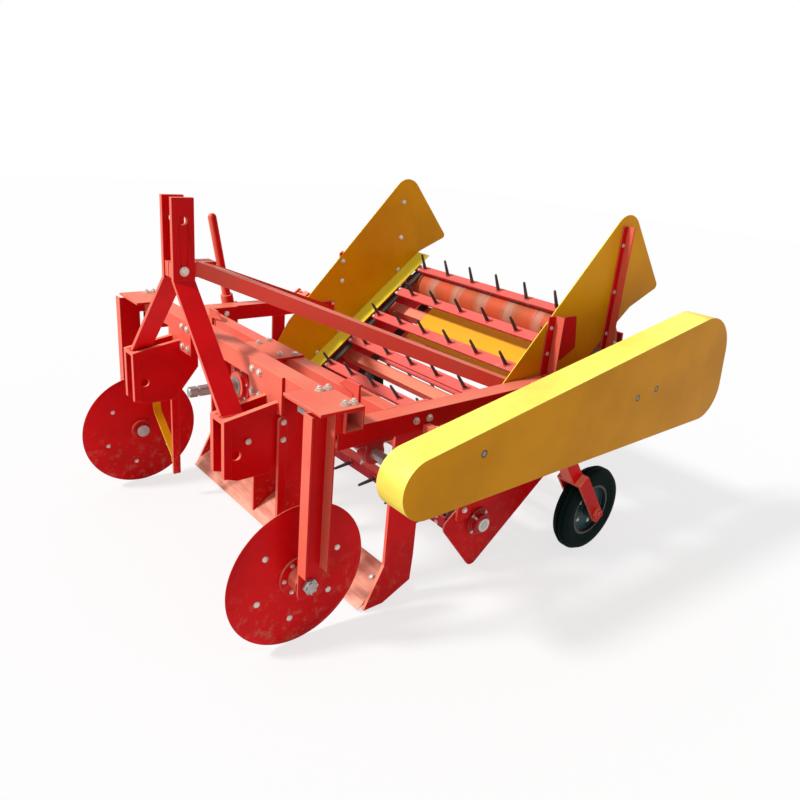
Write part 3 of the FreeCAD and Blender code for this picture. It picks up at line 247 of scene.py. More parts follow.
def drum_paint(name, axle):
    """Bare shaft and a painted drum, rubbed bright in bands where slats and belts run on it."""
    drum = Finish(bpy.data.materials.new(name))
    along = drum.node("SeparateXYZ", {}, {0: drum.place()}, "X")
    across = drum.node("SeparateXYZ", {}, {0: drum.place()}, "Y")
    away = ((along - axle.x) ** 2.0 + (drum.height() - axle.z) ** 2.0) ** 0.5
    painted = away.over(*SHAFT_TO_DRUM)
    rubbed = drum.noise(30.0, 5.0, 0.7, (0.3, 2.0, 0.3))
    band = drum.node("Math", {"operation": "SINE"}, {0: across * BANDS_ON_DRUM}) * 0.5 + 0.5
    coat = drum.blend(drum.noise(8.0).over(0.35, 0.7), colour(0.62, 0.09, 0.03), colour(0.42, 0.10, 0.03))
    coat = drum.blend((rubbed * band).over(0.2, 0.6) * 0.5, coat, colour(0.46, 0.36, 0.28))
    steel = drum.blend(rubbed.over(0.3, 0.7), DARK_STEEL, BRIGHT_STEEL)
    return drum.surface(Base_Color=drum.blend(painted, steel, coat), Metallic=(0.7 - painted * 0.6).held(),
                        Roughness=(0.34 + painted * 0.2 + rubbed * 0.1).held(), Specular_IOR_Level=0.3,
                        Normal=drum.bump(rubbed, 0.0005))


def rubber(name, shade, dusty, weave=False):
    """Black rubber with dust in patches, or belting with its cords showing."""
    belt = Finish(bpy.data.materials.new(name))
    patches = belt.noise(7.0, 5.0)
    fine = belt.noise(240.0, 2.0)
    tone = belt.blend(patches.over(0.45, 0.72) * 0.5, shade, dusty)
    relief = fine
    if weave:
        inputs = {"Vector": belt.place(), "Scale": CORDS_ON_BELT}
        cords = belt.node("TexWave", {"bands_direction": "Y"}, inputs)
        relief = fine * 0.5 + cords
    return belt.surface(Base_Color=tone, Metallic=0.0, Roughness=(0.62 + patches * 0.25).held(),
                        Specular_IOR_Level=0.06, Normal=belt.bump(relief, 0.0005))


def casting(name, bright, deep):
    """Painted casting with a sandy skin and oily dust in patches."""
    paint = Finish(bpy.data.materials.new(name))
    sand = paint.noise(220.0, 4.0, 0.7)
    patches = paint.noise(11.0, 4.0)
    tone = paint.blend(patches.over(0.4, 0.7), bright, deep)
    tone = paint.blend(paint.edges(CAST_WIDTH).over(0.04, 0.25) * 0.5, tone, colour(0.85, 0.30, 0.25))
    grime = paint.noise(26.0, 4.0).over(0.55, 0.75) * 0.6
    tone = paint.blend(grime, tone, EARTH)
    return paint.surface(Base_Color=tone, Metallic=0.0, Roughness=(0.45 + grime * 0.4).held(),
                         Specular_IOR_Level=0.2, Normal=paint.bump(sand, 0.0012))


# In each enamel here and below, the third colour is a painted highlight for the upper and leading faces, and the
# two shares after it set how much of it they take.
FINISHES = {
    "red_paint": enamel("red_enamel", colour(0.72, 0.003, 0.006), colour(0.52, 0.002, 0.004),
                        colour(0.98, 0.29, 0.18), 0.80, 0.60),
    "yellow_paint": enamel("yellow_enamel", colour(0.78, 0.34, 0.0), colour(0.69, 0.285, 0.0),
                           colour(1.0, 0.92, 0.06), 0.85, 0.80),
    "spike_steel": slat_paint("slat_paint"),
    "blade_steel": worked_steel("scoured_blade", colour(0.90, 0.42, 0.30), colour(0.62, 0.20, 0.13),
                                (2.0, 0.25, 2.0), 0.25, 0.38, 0.45),
    "shaft_steel": worked_steel("turned_steel", BRIGHT_STEEL, DARK_STEEL, (0.4, 6.0, 0.4)),
    "belt_rubber": rubber("belting", colour(0.045, 0.042, 0.042), colour(0.22, 0.15, 0.11), True),
    "tyre_rubber": rubber("tyre_rubber", colour(0.002, 0.009, 0.008), colour(0.016, 0.030, 0.027)),
    "rim_paint": casting("rim_paint", colour(0.012, 0.07, 0.075), colour(0.006, 0.03, 0.035)),
    "cast_housing": casting("cast_housing", colour(0.50, 0.008, 0.012), colour(0.30, 0.004, 0.007)),
}
GUARD_SCREWS = [(0.340, 0.850, 0.645), (-0.375, 0.850, 0.680), (-0.480, 0.850, 0.695)]
GUARD_ENAMEL = enamel("guard_enamel", colour(0.66, 0.27, 0.0), colour(0.56, 0.225, 0.0),
                      colour(1.0, 0.94, 0.16), 0.9, 0.9, GUARD_SCREWS)
DECK_ENAMEL = enamel("deck_enamel", colour(0.80, 0.34, 0.01), colour(0.62, 0.22, 0.01),
                     colour(0.95, 0.60, 0.05), 0.3, 0.3)
DRUM_LOW, DRUM_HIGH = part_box("upper_shaft")
DRUM_PAINT = drum_paint("drum_paint", (DRUM_LOW + DRUM_HIGH) / 2)
BOLT_ZINC = worked_steel("zinc_plating", colour(0.80, 0.74, 0.66), colour(0.55, 0.50, 0.44), (1, 1, 1),
                         0.6, 0.3, 0.25)
SPIKE_BLACK = worked_steel("spike_black", colour(0.10, 0.085, 0.085), colour(0.035, 0.03, 0.035), (1, 1, 1),
                           0.5, 0.42, 0.4)
WELD_METAL = casting("painted_weld", colour(0.66, 0.01, 0.015), colour(0.42, 0.005, 0.01))


# ---- mesh helpers ------------------------------------------------------------------------------

SMOOTH_UNDER = math.radians(35.0)


def piece(name, body, slot, draw, material=None):
    """New piece from a function that draws into an empty mesh, riding on a body."""
    work = bmesh.new()
    draw(work)
    bmesh.ops.recalc_face_normals(work, faces=work.faces)
    mesh = bpy.data.meshes.new(name)
    work.to_mesh(mesh)
    work.free()
    mesh.materials.append(material or FINISHES[slot])
    mesh.shade_smooth()
    mesh.set_sharp_from_angle(angle=SMOOTH_UNDER)
    made = bpy.data.objects.new(name, mesh)
    scene.collection.objects.link(made)
    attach(made, body)
    return made


def stand(spot, normal, turn=0.0):
    """Matrix that sets local Z along a normal at a spot."""
    spin = Matrix.Rotation(turn, 4, "Z")
    return Matrix.Translation(spot) @ Vector(normal).to_track_quat("Z", "Y").to_matrix().to_4x4() @ spin


def turned(work, profile, matrix, steps):
    """Closed solid turned about local Z from (radius, height) points; a radius of 0 closes an end."""
    rings = []
    for radius, height in profile:
        if radius == 0:
            rings.append([work.verts.new(matrix @ Vector((0, 0, height)))])
            continue
        angles = [2 * math.pi * step / steps for step in range(steps)]
        spots = [Vector((radius * math.cos(a), radius * math.sin(a), height)) for a in angles]
        rings.append([work.verts.new(matrix @ spot) for spot in spots])
    closed = rings if profile[0][0] == 0 else rings + rings[:1]
    for low, high in zip(closed, closed[1:]):
        for step in range(steps):
            nxt = (step + 1) % steps
            corners = [low[step % len(low)], low[nxt % len(low)],
                       high[nxt % len(high)], high[step % len(high)]]
            work.faces.new(list(dict.fromkeys(corners)))


def prism(work, outline, matrix, depth):
    """Closed solid from a flat outline of (x, y) points, pushed along local Z."""
    low = [work.verts.new(matrix @ Vector((x, y, 0))) for x, y in outline]
    high = [work.verts.new(matrix @ Vector((x, y, depth))) for x, y in outline]
    work.faces.new(low[::-1])
    work.faces.new(high)
    for index in range(len(outline)):
        nxt = (index + 1) % len(outline)
        work.faces.new([low[index], low[nxt], high[nxt], high[index]])


def tube_along(work, spots, radius, steps):
    """Closed round bar through a run of spots, its radius fixed or worked out at each one."""
    rings = []
    for index, spot in enumerate(spots):
        before, after = spots[max(index - 1, 0)], spots[min(index + 1, len(spots) - 1)]
        turn = (after - before).to_track_quat("Z", "X").to_matrix()
        width = radius(index) if callable(radius) else radius
        angles = [2 * math.pi * step / steps for step in range(steps)]
        rings.append([work.verts.new(spot + turn @ Vector((width * math.cos(a), width * math.sin(a), 0)))
                      for a in angles])
    for low, high in zip(rings, rings[1:]):
        for step in range(steps):
            nxt = (step + 1) % steps
            work.faces.new([low[step], low[nxt], high[nxt], high[step]])
    work.faces.new(rings[0][::-1])
    work.faces.new(rings[-1])


# ---- fastenings --------------------------------------------------------------------------------

BOLT_TURN, CAP_SKEW, QUARTER_SKEW = 0.3, 0.26, 0.785
RIPPLE_STEP = 0.0035


def hex_bolt(work, spot, normal, size, washer=True, thread=False):
    """Hexagon head on a washer; with a thread, a nut and the bolt's end."""
    matrix = stand(spot, normal, BOLT_TURN)
    across, thick = size * 0.95, size * 0.65
    base = 0.0
    if washer:
        base = size * 0.18
        turned(work, [(0, 0), (size * 1.15, 0), (size * 1.15, base), (0, base)], matrix, 20)
    turned(work, [(0, base), (across, base), (across, base + thick * 0.82), (across * 0.86, base + thick),
                  (0, base + thick)], matrix, 6)
    if thread:
        end = base + thick + size * 0.45
        turned(work, [(0, base), (size * 0.5, base), (size * 0.5, end - size * 0.1),
                      (size * 0.4, end), (0, end)], matrix, 14)


def domed_bolt(work, spot, normal, radius):
    """Low round head."""
    profile = [(0, 0), (radius, 0), (radius * 0.96, radius * 0.18), (radius * 0.72, radius * 0.42),
               (radius * 0.38, radius * 0.56), (0, radius * 0.6)]
    turned(work, profile, stand(spot, normal), 18)


def weld(work, start, end, radius=0.0045):
    """Bead along a joint, with the ripple that each dab of the rod leaves."""
    start, end = Vector(start), Vector(end)
    count = max(4, int((end - start).length / RIPPLE_STEP))
    spots = [start.lerp(end, index / count) for index in range(count + 1)]

    def swell(index):
        taper = 0.55 if index in (0, count) else 1.0
        return radius * taper * (1.0 + 0.16 * math.sin(index * 2.1) + 0.08 * math.sin(index * 0.77))

    tube_along(work, spots, swell, 8)


# ---- measures shared by the fastenings ---------------------------------------------------------

def at(x, offset, z, sign=1):
    """Spot at a distance to the left of the machine's middle, or to its right with a sign of -1."""
    return Vector((x, CENTRE + sign * offset, z))


def reach(node):
    """Low and high corners of a node, with the sideways sizes measured from the machine's middle."""
    low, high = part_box(node)
    return low - CENTRE * ACROSS, high - CENTRE * ACROSS


def middle_of(node):
    """Middle of a node's box, measured sideways from the machine's middle."""
    low, high = reach(node)
    return (low + high) / 2


def spin_about(spot, direction, radius, count, start=0.0):
    """Spots at even steps round a circle about a direction."""
    matrix = stand(spot, direction)
    angles = [start + 2 * math.pi * step / count for step in range(count)]
    return [matrix @ Vector((radius * math.cos(a), radius * math.sin(a), 0)) for a in angles]


BEAM_LOW, BEAM_HIGH = reach("front_beam")
RAIL_LOW, RAIL_HIGH = reach("left_side_rail")
CROSS_LOW, CROSS_HIGH = reach("mid_cross_tube")
ARM_LOW, ARM_HIGH = reach("left_coulter_arm")
SHANK_LOW, SHANK_HIGH = reach("left_side_shank")
BRACKET_LOW, BRACKET_HIGH = reach("left_hitch_bracket")
CHEEK = BRACKET_HIGH.y - 0.017
MAST_LOW, MAST_HIGH = reach("left_mast_bar")
BOX_LOW, BOX_HIGH = reach("gearbox")
BOX_FRONT = BOX_HIGH.x - 0.020
DRIVE = middle_of("cross_shaft")
LOWER, UPPER = middle_of("lower_shaft"), middle_of("upper_shaft")
LOWER.y = UPPER.y = 0.0
RUN = (UPPER - LOWER).length
SLOPE = (UPPER - LOWER) / RUN
SQUARE = Vector((SLOPE.z, 0, -SLOPE.x))


def on_elevator(along, offset, above, sign=1):
    """Spot by its way up the elevator, its distance from the middle and its height above the axles."""
    spot = LOWER + SLOPE * along + SQUARE * above
    return at(spot.x, offset, spot.z, sign)


# ---- frame and hitch ---------------------------------------------------------------------------

def frame_bolts(work):
    """Bolts through the clamp plates, hitch face plates, shanks, hangers and the stays' feet."""
    rail_bolt = (RAIL_LOW.z + RAIL_HIGH.z) / 2 + 0.004
    clamp_inset, face_plate, stay_flange = 0.016, 0.010, 0.017
    stay_low = reach("left_mast_stay")[0]
    hang_low, hang_high = reach("elevator_hangers")
    front_leg, rear_leg = hang_high.x - 0.030, hang_low.x + 0.030
    for sign in SIGNS:
        outward = sign * ACROSS
        for x in (BEAM_LOW.x + clamp_inset, BEAM_HIGH.x - clamp_inset):
            for offset in (ARM_HIGH.y - 0.150, ARM_HIGH.y - 0.030):
                hex_bolt(work, at(x, offset, ARM_HIGH.z, sign), UP, 0.011, thread=True)
        for offset in (BRACKET_LOW.y + 0.021, BRACKET_LOW.y + 0.064):
            for z in (BEAM_LOW.z - 0.034, BEAM_HIGH.z - 0.022):
                hex_bolt(work, at(BEAM_HIGH.x + face_plate, offset, z, sign), ALONG, 0.010)
        for x in (SHANK_HIGH.x - 0.139, SHANK_HIGH.x - 0.089):
            hex_bolt(work, at(x, SHANK_LOW.y, rail_bolt, sign), -outward, 0.010, thread=True)
            hex_bolt(work, at(x, RAIL_HIGH.y, rail_bolt, sign), outward, 0.010)
        for x in (stay_low.x + 0.009, stay_low.x + 0.101):
            for z in (stay_low.z + 0.010, stay_low.z + 0.054):
                hex_bolt(work, at(x, RAIL_LOW.y - stay_flange, z, sign), -outward, 0.0065)
        for x, rises in ((front_leg, (0.035, 0.095)), (rear_leg, (0.225, 0.275))):
            for rise in rises:
                hex_bolt(work, at(x, hang_high.y, hang_low.z + rise, sign), outward, 0.009)


LUG_FACES = (0.458, 0.482)
CHEEK_ROOTS = (0.298, 0.384)
MOUNT_FACES = (-0.106, -0.094, 0.094, 0.106)


def frame_welds(work):
    """Beads where tubes, plates, lugs and posts meet."""
    post_low, post_high = reach("left_sheet_posts")
    hang_low, hang_high = reach("elevator_hangers")
    shank_foot = reach("digging_blade")[1].z
    arm_web = ARM_LOW.y + 0.136
    cheek_x, web_x = BEAM_HIGH.x + 0.010, BEAM_HIGH.x + 0.020
    thin, middling = 0.003, 0.004
    for sign in SIGNS:
        for offset in (RAIL_LOW.y, RAIL_HIGH.y):
            weld(work, at(BEAM_LOW.x, offset, BEAM_LOW.z, sign), at(BEAM_HIGH.x, offset, BEAM_LOW.z, sign))
        weld(work, at(BEAM_LOW.x, RAIL_LOW.y, BEAM_LOW.z, sign),
             at(BEAM_LOW.x, RAIL_HIGH.y, BEAM_LOW.z, sign))
        for x in (CROSS_LOW.x, CROSS_HIGH.x):
            weld(work, at(x, RAIL_LOW.y, CROSS_LOW.z, sign), at(x, RAIL_LOW.y, CROSS_HIGH.z, sign))
        for x in (MAST_LOW.x, MAST_HIGH.x):
            weld(work, at(x, MAST_HIGH.y - 0.014, MAST_LOW.z, sign),
                 at(x, MAST_HIGH.y, MAST_LOW.z, sign), middling)
        weld(work, at(MAST_LOW.x, MAST_HIGH.y, MAST_LOW.z, sign),
             at(MAST_HIGH.x, MAST_HIGH.y, MAST_LOW.z, sign), middling)
        for offset in LUG_FACES:
            weld(work, at(CROSS_HIGH.x, offset, CROSS_LOW.z + 0.004, sign),
                 at(CROSS_HIGH.x, offset, CROSS_HIGH.z - 0.004, sign), thin)
        for x in (post_high.x - 0.036, post_high.x, post_low.x, post_low.x + 0.030):
            weld(work, at(x, post_low.y + 0.005, post_low.z, sign),
                 at(x, post_low.y + 0.034, post_low.z, sign), thin)
        for x in (hang_low.x, hang_low.x + 0.060, hang_high.x - 0.060, hang_high.x):
            weld(work, at(x, RAIL_LOW.y, hang_high.z, sign),
                 at(x, RAIL_LOW.y + 0.010, hang_high.z, sign), thin)
        for offset in CHEEK_ROOTS:
            weld(work, at(cheek_x, offset, BEAM_LOW.z - 0.05, sign),
                 at(cheek_x, offset, BEAM_HIGH.z - 0.08, sign), middling)
        weld(work, at(SHANK_HIGH.x - 0.10, SHANK_LOW.y, shank_foot - 0.012, sign),
             at(SHANK_HIGH.x - 0.03, SHANK_LOW.y, shank_foot - 0.056, sign), middling)
        weld(work, at(web_x, arm_web, BEAM_LOW.z - 0.002, sign),
             at(web_x, arm_web, BEAM_HIGH.z, sign), middling)
    for offset in MOUNT_FACES:
        weld(work, at(CROSS_LOW.x, offset, CROSS_LOW.z), at(CROSS_HIGH.x, offset, CROSS_LOW.z), middling)
    mount_high = reach("gearbox_mount")[1]
    weld(work, at(mount_high.x, -0.100, mount_high.z), at(mount_high.x, 0.100, mount_high.z), middling)


def mast_bolt(work):
    """Hexagon bolt, washers and nut through the mast and the stays' tongues."""
    middle = middle_of("mast_bolt")
    grip = reach("mast_bolt")[1].y - 0.014
    for sign in SIGNS:
        hex_bolt(work, at(middle.x, grip, middle.z, sign), sign * ACROSS, 0.0125, thread=sign < 0)
    turned(work, [(0, -grip), (0.010, -grip), (0.010, grip), (0, grip)],
           stand(at(middle.x, 0, middle.z), ACROSS), 20)


def chain_bolts(work):
    """Bolt on each bracket's outer cheek, for the chain of its lynch pin."""
    for sign in SIGNS:
        spot = at(BRACKET_HIGH.x - 0.075, CHEEK, BRACKET_LOW.z + 0.120, sign)
        hex_bolt(work, spot, sign * ACROSS, 0.008)


piece("frame_bolts", "machine", "shaft_steel", frame_bolts, BOLT_ZINC)
piece("frame_welds", "machine", "red_paint", frame_welds, WELD_METAL)
piece("hitch_chain_bolts", "machine", "shaft_steel", chain_bolts, BOLT_ZINC)
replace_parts(piece("mast_bolt_hex", "machine", "shaft_steel", mast_bolt, BOLT_ZINC), "mast_bolt")


# ---- coulters and blade ------------------------------------------------------------------------

RIM_BOLTS, FLANGE_BOLTS, RIM_START = 0.140, 0.050, 0.35

for side, sign in SIDES:
    hub = Vector(joints[side + "_coulter_spin"]["pos_m"])
    outward = sign * ACROSS

    def disc_bolts(work):
        """Domed bolts round the disc and hexagon bolts through the hub's flange."""
        middle = abs(hub.y - CENTRE)
        for spot in spin_about(at(hub.x, middle + 0.003, hub.z, sign), outward, RIM_BOLTS, 6, RIM_START):
            domed_bolt(work, spot, outward, 0.010)
        for spot in spin_about(at(hub.x, middle - 0.003, hub.z, sign), -outward, RIM_BOLTS, 6, RIM_START):
            hex_bolt(work, spot, -outward, 0.007)
        for spot in spin_about(at(hub.x, middle + 0.010, hub.z, sign), outward, FLANGE_BOLTS, 6):
            hex_bolt(work, spot, outward, 0.006)

    def axle(work):
        """Stub axle with a collar inside the disc and a slotted nut with its split pin outside the arm."""
        inner, outer = (corner.y for corner in reach("left_coulter_axle"))
        web = outer - 0.016
        slot = web + 0.0115
        matrix = stand(at(hub.x, 0, hub.z, sign), outward)
        stub = [(0, inner), (0.022, inner), (0.024, inner + 0.002), (0.024, inner + 0.012),
                (0.015, inner + 0.012), (0.015, outer - 0.001), (0.014, outer), (0, outer)]
        turned(work, stub, matrix, 32)
        nut = [(0.015, web), (0.024, web), (0.024, web + 0.010), (0.021, web + 0.012), (0.015, web + 0.012)]
        turned(work, nut, matrix, 6)
        for turn in range(6):
            around = matrix @ Matrix.Rotation(math.pi / 3 * turn + 0.26, 4, "Z")
            spots = [(0.0155, -0.003), (0.0195, -0.003), (0.0195, 0.003), (0.0155, 0.003)]
            prism(work, spots, around @ Matrix.Translation((0, 0, slot)), 0.003)
        split_pin = [matrix @ Vector((0.0, y, slot + 0.002)) for y in (-0.023, -0.01, 0.01, 0.023)]
        tube_along(work, split_pin, 0.0016, 8)

    piece(side + "_disc_bolts", side + "_coulter", "shaft_steel", disc_bolts, BOLT_ZINC)
    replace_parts(piece(side + "_axle_nut", "machine", "shaft_steel", axle), side + "_coulter_axle")


SCRAPER_X = BEAM_HIGH.x - 0.002
STANDARD_HALF, STANDARD_THICK = 0.014, 0.012
STANDARD_FOOT, STANDARD_TOP = 0.100, 0.612
STRIP_WIDTH = 0.030


def scraper_standards(work):
    """Flat standard hung from each bracket's outer cheek, its top end rounded."""
    half = STANDARD_HALF
    arc = [math.pi * step / 10 for step in range(11)]
    outline = [(-half, STANDARD_FOOT), (half, STANDARD_FOOT)]
    outline += [(half * math.cos(a), STANDARD_TOP + half * math.sin(a)) for a in arc]
    for sign in SIGNS:
        face = Vector((SCRAPER_X, CENTRE + sign * (CHEEK + 0.0005), 0))
        matrix = Matrix.Translation(face) @ Matrix.Rotation(math.pi / 2, 4, "X")
        prism(work, outline, matrix, -sign * STANDARD_THICK)


def scraper_strips(work):
    """Bent strip from each standard to just short of its disc's inner face."""
    foot = CHEEK + STANDARD_THICK
    path = [(foot, 0.150), (foot, 0.170), (0.560, 0.298), (0.570, 0.320), (0.570, 0.438)]
    front_on = Matrix(((0, 0, 1), (1, 0, 0), (0, 1, 0))).to_4x4()
    for sign in SIGNS:
        outline = []
        for turn, run in ((1, path), (-1, path[::-1])):
            outline += [(sign * (y + 0.002 + turn * 0.002), z - turn * 0.0015) for y, z in run]
        matrix = Matrix.Translation((SCRAPER_X - STRIP_WIDTH / 2, CENTRE, 0)) @ front_on
        prism(work, outline, matrix, STRIP_WIDTH)


def scraper_bolts(work):
    """Bolts through the standards' tops and the strips' lower ends."""
    for sign in SIGNS:
        outward = sign * ACROSS
        for z in (0.610, 0.555):
            hex_bolt(work, at(SCRAPER_X, CHEEK + 0.0125, z, sign), outward, 0.008)
        hex_bolt(work, at(SCRAPER_X, CHEEK + 0.016, 0.160, sign), outward, 0.007)


piece("scraper_standards", "machine", "red_paint", scraper_standards)
piece("scraper_strips", "machine", "yellow_paint", scraper_strips)
piece("scraper_bolts", "machine", "shaft_steel", scraper_bolts, BOLT_ZINC)


def blade_bolts(work):
    """Plough bolts along the share, their heads nearly flush."""
    low, high = reach("digging_blade")
    slope = Vector((low.x - high.x + 0.005, 0, high.z - low.z - 0.0085)).normalized()
    normal = Vector((slope.z, 0, -slope.x))
    spot = Vector((high.x, 0, low.z)) + slope * 0.110 + normal * 0.0095
    for offset in (-0.55, -0.45, -0.34, -0.23, 0.0, 0.23, 0.34, 0.45, 0.55):
        domed_bolt(work, at(spot.x, offset, spot.z), normal, 0.011)


piece("blade_bolts", "machine", "shaft_steel", blade_bolts, BOLT_ZINC)


# ---- elevator ----------------------------------------------------------------------------------

SLATS, PHASE, LOOP_RADIUS = 14, 0.45, 0.0883
SLAT_THICKNESS, SLAT_WIDTH, SLAT_HALF = 0.010, 0.046, 0.555
SPIKE_PITCH, SPIKE_LENGTH = 0.160, 0.080
SPIKE_STEPS = 14


def loop_station(distance):
    """Way up the elevator, height above the axles and tilt of a slat at a distance round the loop."""
    bend = math.pi * LOOP_RADIUS
    if distance < RUN:
        return distance, LOOP_RADIUS, 0.0
    if distance < RUN + bend:
        angle = (distance - RUN) / LOOP_RADIUS
        return RUN + LOOP_RADIUS * math.sin(angle), LOOP_RADIUS * math.cos(angle), angle
    if distance < 2 * RUN + bend:
        return 2 * RUN + bend - distance, -LOOP_RADIUS, math.pi
    angle = math.pi - (distance - 2 * RUN - bend) / LOOP_RADIUS
    return -LOOP_RADIUS * math.sin(angle), LOOP_RADIUS * math.cos(angle), 2 * math.pi - angle


def each_slat():
    """Middle of each slat's outer face, its normal, the way across its width and its number of spikes."""
    total = 2 * RUN + 2 * math.pi * LOOP_RADIUS
    for index in range(SLATS):
        along, above, angle = loop_station((index + PHASE) * total / SLATS)
        normal = SQUARE * math.cos(angle) + SLOPE * math.sin(angle)
        width = SLOPE * math.cos(angle) - SQUARE * math.sin(angle)
        middle = LOWER + SLOPE * along + SQUARE * above + normal * SLAT_THICKNESS
        yield at(middle.x, 0, middle.z), normal, width, 7 if index % 2 else 6


def each_spike():
    """Foot of each spike and the way that it stands."""
    for middle, normal, _, spikes in each_slat():
        for spike in range(spikes):
            yield middle + ACROSS * ((spike - (spikes - 1) / 2) * SPIKE_PITCH), normal


def slats(work):
    """Flat bars with sheared ends and broken edges."""
    half, low = SLAT_WIDTH / 2, -SLAT_THICKNESS
    outline = [(-half, low + 0.001), (0.001 - half, low), (half - 0.001, low), (half, low + 0.001),
               (half, -0.0015), (half - 0.0015, 0), (0.0015 - half, 0), (-half, -0.0015)]
    for middle, normal, width, _ in each_slat():
        turn = Matrix((width, normal, width.cross(normal))).transposed().to_4x4()
        matrix = Matrix.Translation(middle) @ turn @ Matrix.Translation((0, 0, -SLAT_HALF))
        prism(work, outline, matrix, 2 * SLAT_HALF)


def spikes(work):
    """Tapered round spikes with blunted tips."""
    profile = [(0, -0.002), (0.008, -0.002), (0.008, 0.001), (0.0052, 0.074), (0.0048, 0.078),
               (0.0030, SPIKE_LENGTH), (0, SPIKE_LENGTH)]
    for foot, normal in each_spike():
        turned(work, profile, stand(foot, normal), SPIKE_STEPS)


def slat_bolts(work):
    """Two domed bolts through each belt at each slat's end."""
    belt = reach("elevator_belts")[1].y - 0.0225
    for middle, normal, width, _ in each_slat():
        for sign in SIGNS:
            for step in (-0.013, 0.013):
                domed_bolt(work, middle + ACROSS * sign * belt + width * step, normal, 0.0085)


def spike_welds(work):
    """Ring of weld at each spike's foot."""
    profile = [(0.0075, -0.001), (0.0118, -0.001), (0.0112, 0.0016), (0.0092, 0.0036), (0.0075, 0.0042)]
    for foot, normal in each_spike():
        turned(work, profile, stand(foot, normal), SPIKE_STEPS)


def sheet_bolts(work):
    """Domed heads on the sheets' inner faces along the side plates, and at the posts with nuts outside."""
    inner = reach("left_elevator_side")[0].y - 0.003
    post_low, post_high = reach("left_sheet_posts")
    front, rear = post_high.x - 0.018, post_low.x + 0.016
    for sign in SIGNS:
        outward = sign * ACROSS
        for x, z in ((front, 0.765), (front, 0.855), (rear, 0.800), (rear, 0.955), (rear, 1.120)):
            domed_bolt(work, at(x, inner, z, sign), -outward, 0.012)
            hex_bolt(work, at(x, inner + 0.008, z, sign), outward, 0.0065)
        for step in range(5):
            spot = on_elevator(0.10 + step * 0.15, inner, 0.115, sign)
            if spot.z < RAIL_LOW.z - 0.03:
                domed_bolt(work, spot, -outward, 0.010)


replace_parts(piece("elevator_slats", "machine", "spike_steel", slats), "spiked_slats")
piece("slat_spikes", "machine", "spike_steel", spikes, SPIKE_BLACK)
piece("slat_bolts", "machine", "shaft_steel", slat_bolts, BOLT_ZINC)
piece("spike_welds", "machine", "spike_steel", spike_welds)
piece("sheet_bolts", "machine", "shaft_steel", sheet_bolts, BOLT_ZINC)


def bearing_bolts(work):
    """Foot bolts, flange bolts, set collars and grease nipples of the shaft bearings."""
    rail_mid = (RAIL_LOW.y + RAIL_HIGH.y) / 2
    face = RAIL_LOW.y + 0.010
    end = reach("lower_shaft")[1].y
    foot_bolts = (-0.050, 0.050)
    collar = [(0.0152, end - 0.010), (0.024, end - 0.010), (0.025, end - 0.009), (0.025, end - 0.002),
              (0.024, end - 0.001), (0.0152, end - 0.001)]
    for sign in SIGNS:
        outward = sign * ACROSS
        for step in foot_bolts:
            hex_bolt(work, at(UPPER.x + step, rail_mid, RAIL_HIGH.z + 0.014, sign), UP, 0.010, thread=True)
            hex_bolt(work, at(UPPER.x + step, rail_mid, RAIL_LOW.z, sign), -UP, 0.010)
        grease_nipple(work, at(UPPER.x, rail_mid, UPPER.z + 0.0335, sign), UP)
        for spot in spin_about(at(LOWER.x, face, LOWER.z, sign), outward, 0.0425, 4, QUARTER_SKEW):
            hex_bolt(work, spot, outward, 0.0055)
        turned(work, collar, stand(at(LOWER.x, 0, LOWER.z, sign), outward), 28)
        grease_nipple(work, at(LOWER.x + 0.024, face + 0.012, LOWER.z + 0.024, sign), Vector((1, 0, 1)))
    for step in foot_bolts:
        hex_bolt(work, at(DRIVE.x + step, rail_mid, RAIL_LOW.z - 0.014), -UP, 0.010, thread=True)
    grease_nipple(work, at(DRIVE.x + 0.024, rail_mid, DRIVE.z - 0.024), Vector((1, 0, -1)))


def grease_nipple(work, spot, normal):
    """Small hexagon with a ball-ended nipple."""
    matrix = stand(spot, normal)
    turned(work, [(0, -0.002), (0.0055, -0.002), (0.0055, 0.004), (0, 0.004)], matrix, 6)
    turned(work, [(0, 0.003), (0.0026, 0.003), (0.0026, 0.008), (0.0034, 0.009), (0.0034, 0.011),
                  (0.0016, 0.013), (0, 0.013)], matrix, 12)


piece("bearing_bolts", "machine", "shaft_steel", bearing_bolts, BOLT_ZINC)


# ---- gearbox and drive -------------------------------------------------------------------------

def bearing_cap(inner, outer):
    """Outline of a bolted cap with its rim broken."""
    return [(inner, 0), (outer, 0), (outer, 0.005), (outer - 0.002, 0.007), (inner, 0.007)]


def gearbox_covers(work):
    """Bearing caps round the input and output bosses, the blind covers and the ribs of the casing."""
    x, z = DRIVE.x, DRIVE.z
    wall = 0.075
    turned(work, bearing_cap(0.0438, 0.062), stand(at(BOX_FRONT, 0, z), ALONG), 40)
    turned(work, bearing_cap(0.0388, 0.057), stand(at(x, wall, z), ACROSS), 40)
    blind = [(0, 0), (0.057, 0), (0.057, 0.005), (0.055, 0.007), (0.030, 0.007), (0.028, 0.010), (0, 0.010)]
    turned(work, blind, stand(at(x, -wall, z), -ACROSS), 40)
    turned(work, bearing_cap(0, 0.048), stand(at(BOX_LOW.x, 0, z), -ALONG), 36)
    rib_thick, rib_top = 0.006, BOX_HIGH.z - 0.015
    for offset in (-0.040, -0.014, 0.014, 0.040):
        for face, turn in ((BOX_FRONT, 1), (BOX_LOW.x, -1)):
            proud = 0.011 * turn
            rib = [(0, z + 0.062), (proud, z + 0.092), (proud, rib_top), (0, rib_top)]
            spot = at(face, offset + rib_thick / 2, 0)
            prism(work, rib, Matrix.Translation(spot) @ Matrix.Rotation(math.pi / 2, 4, "X"), rib_thick)


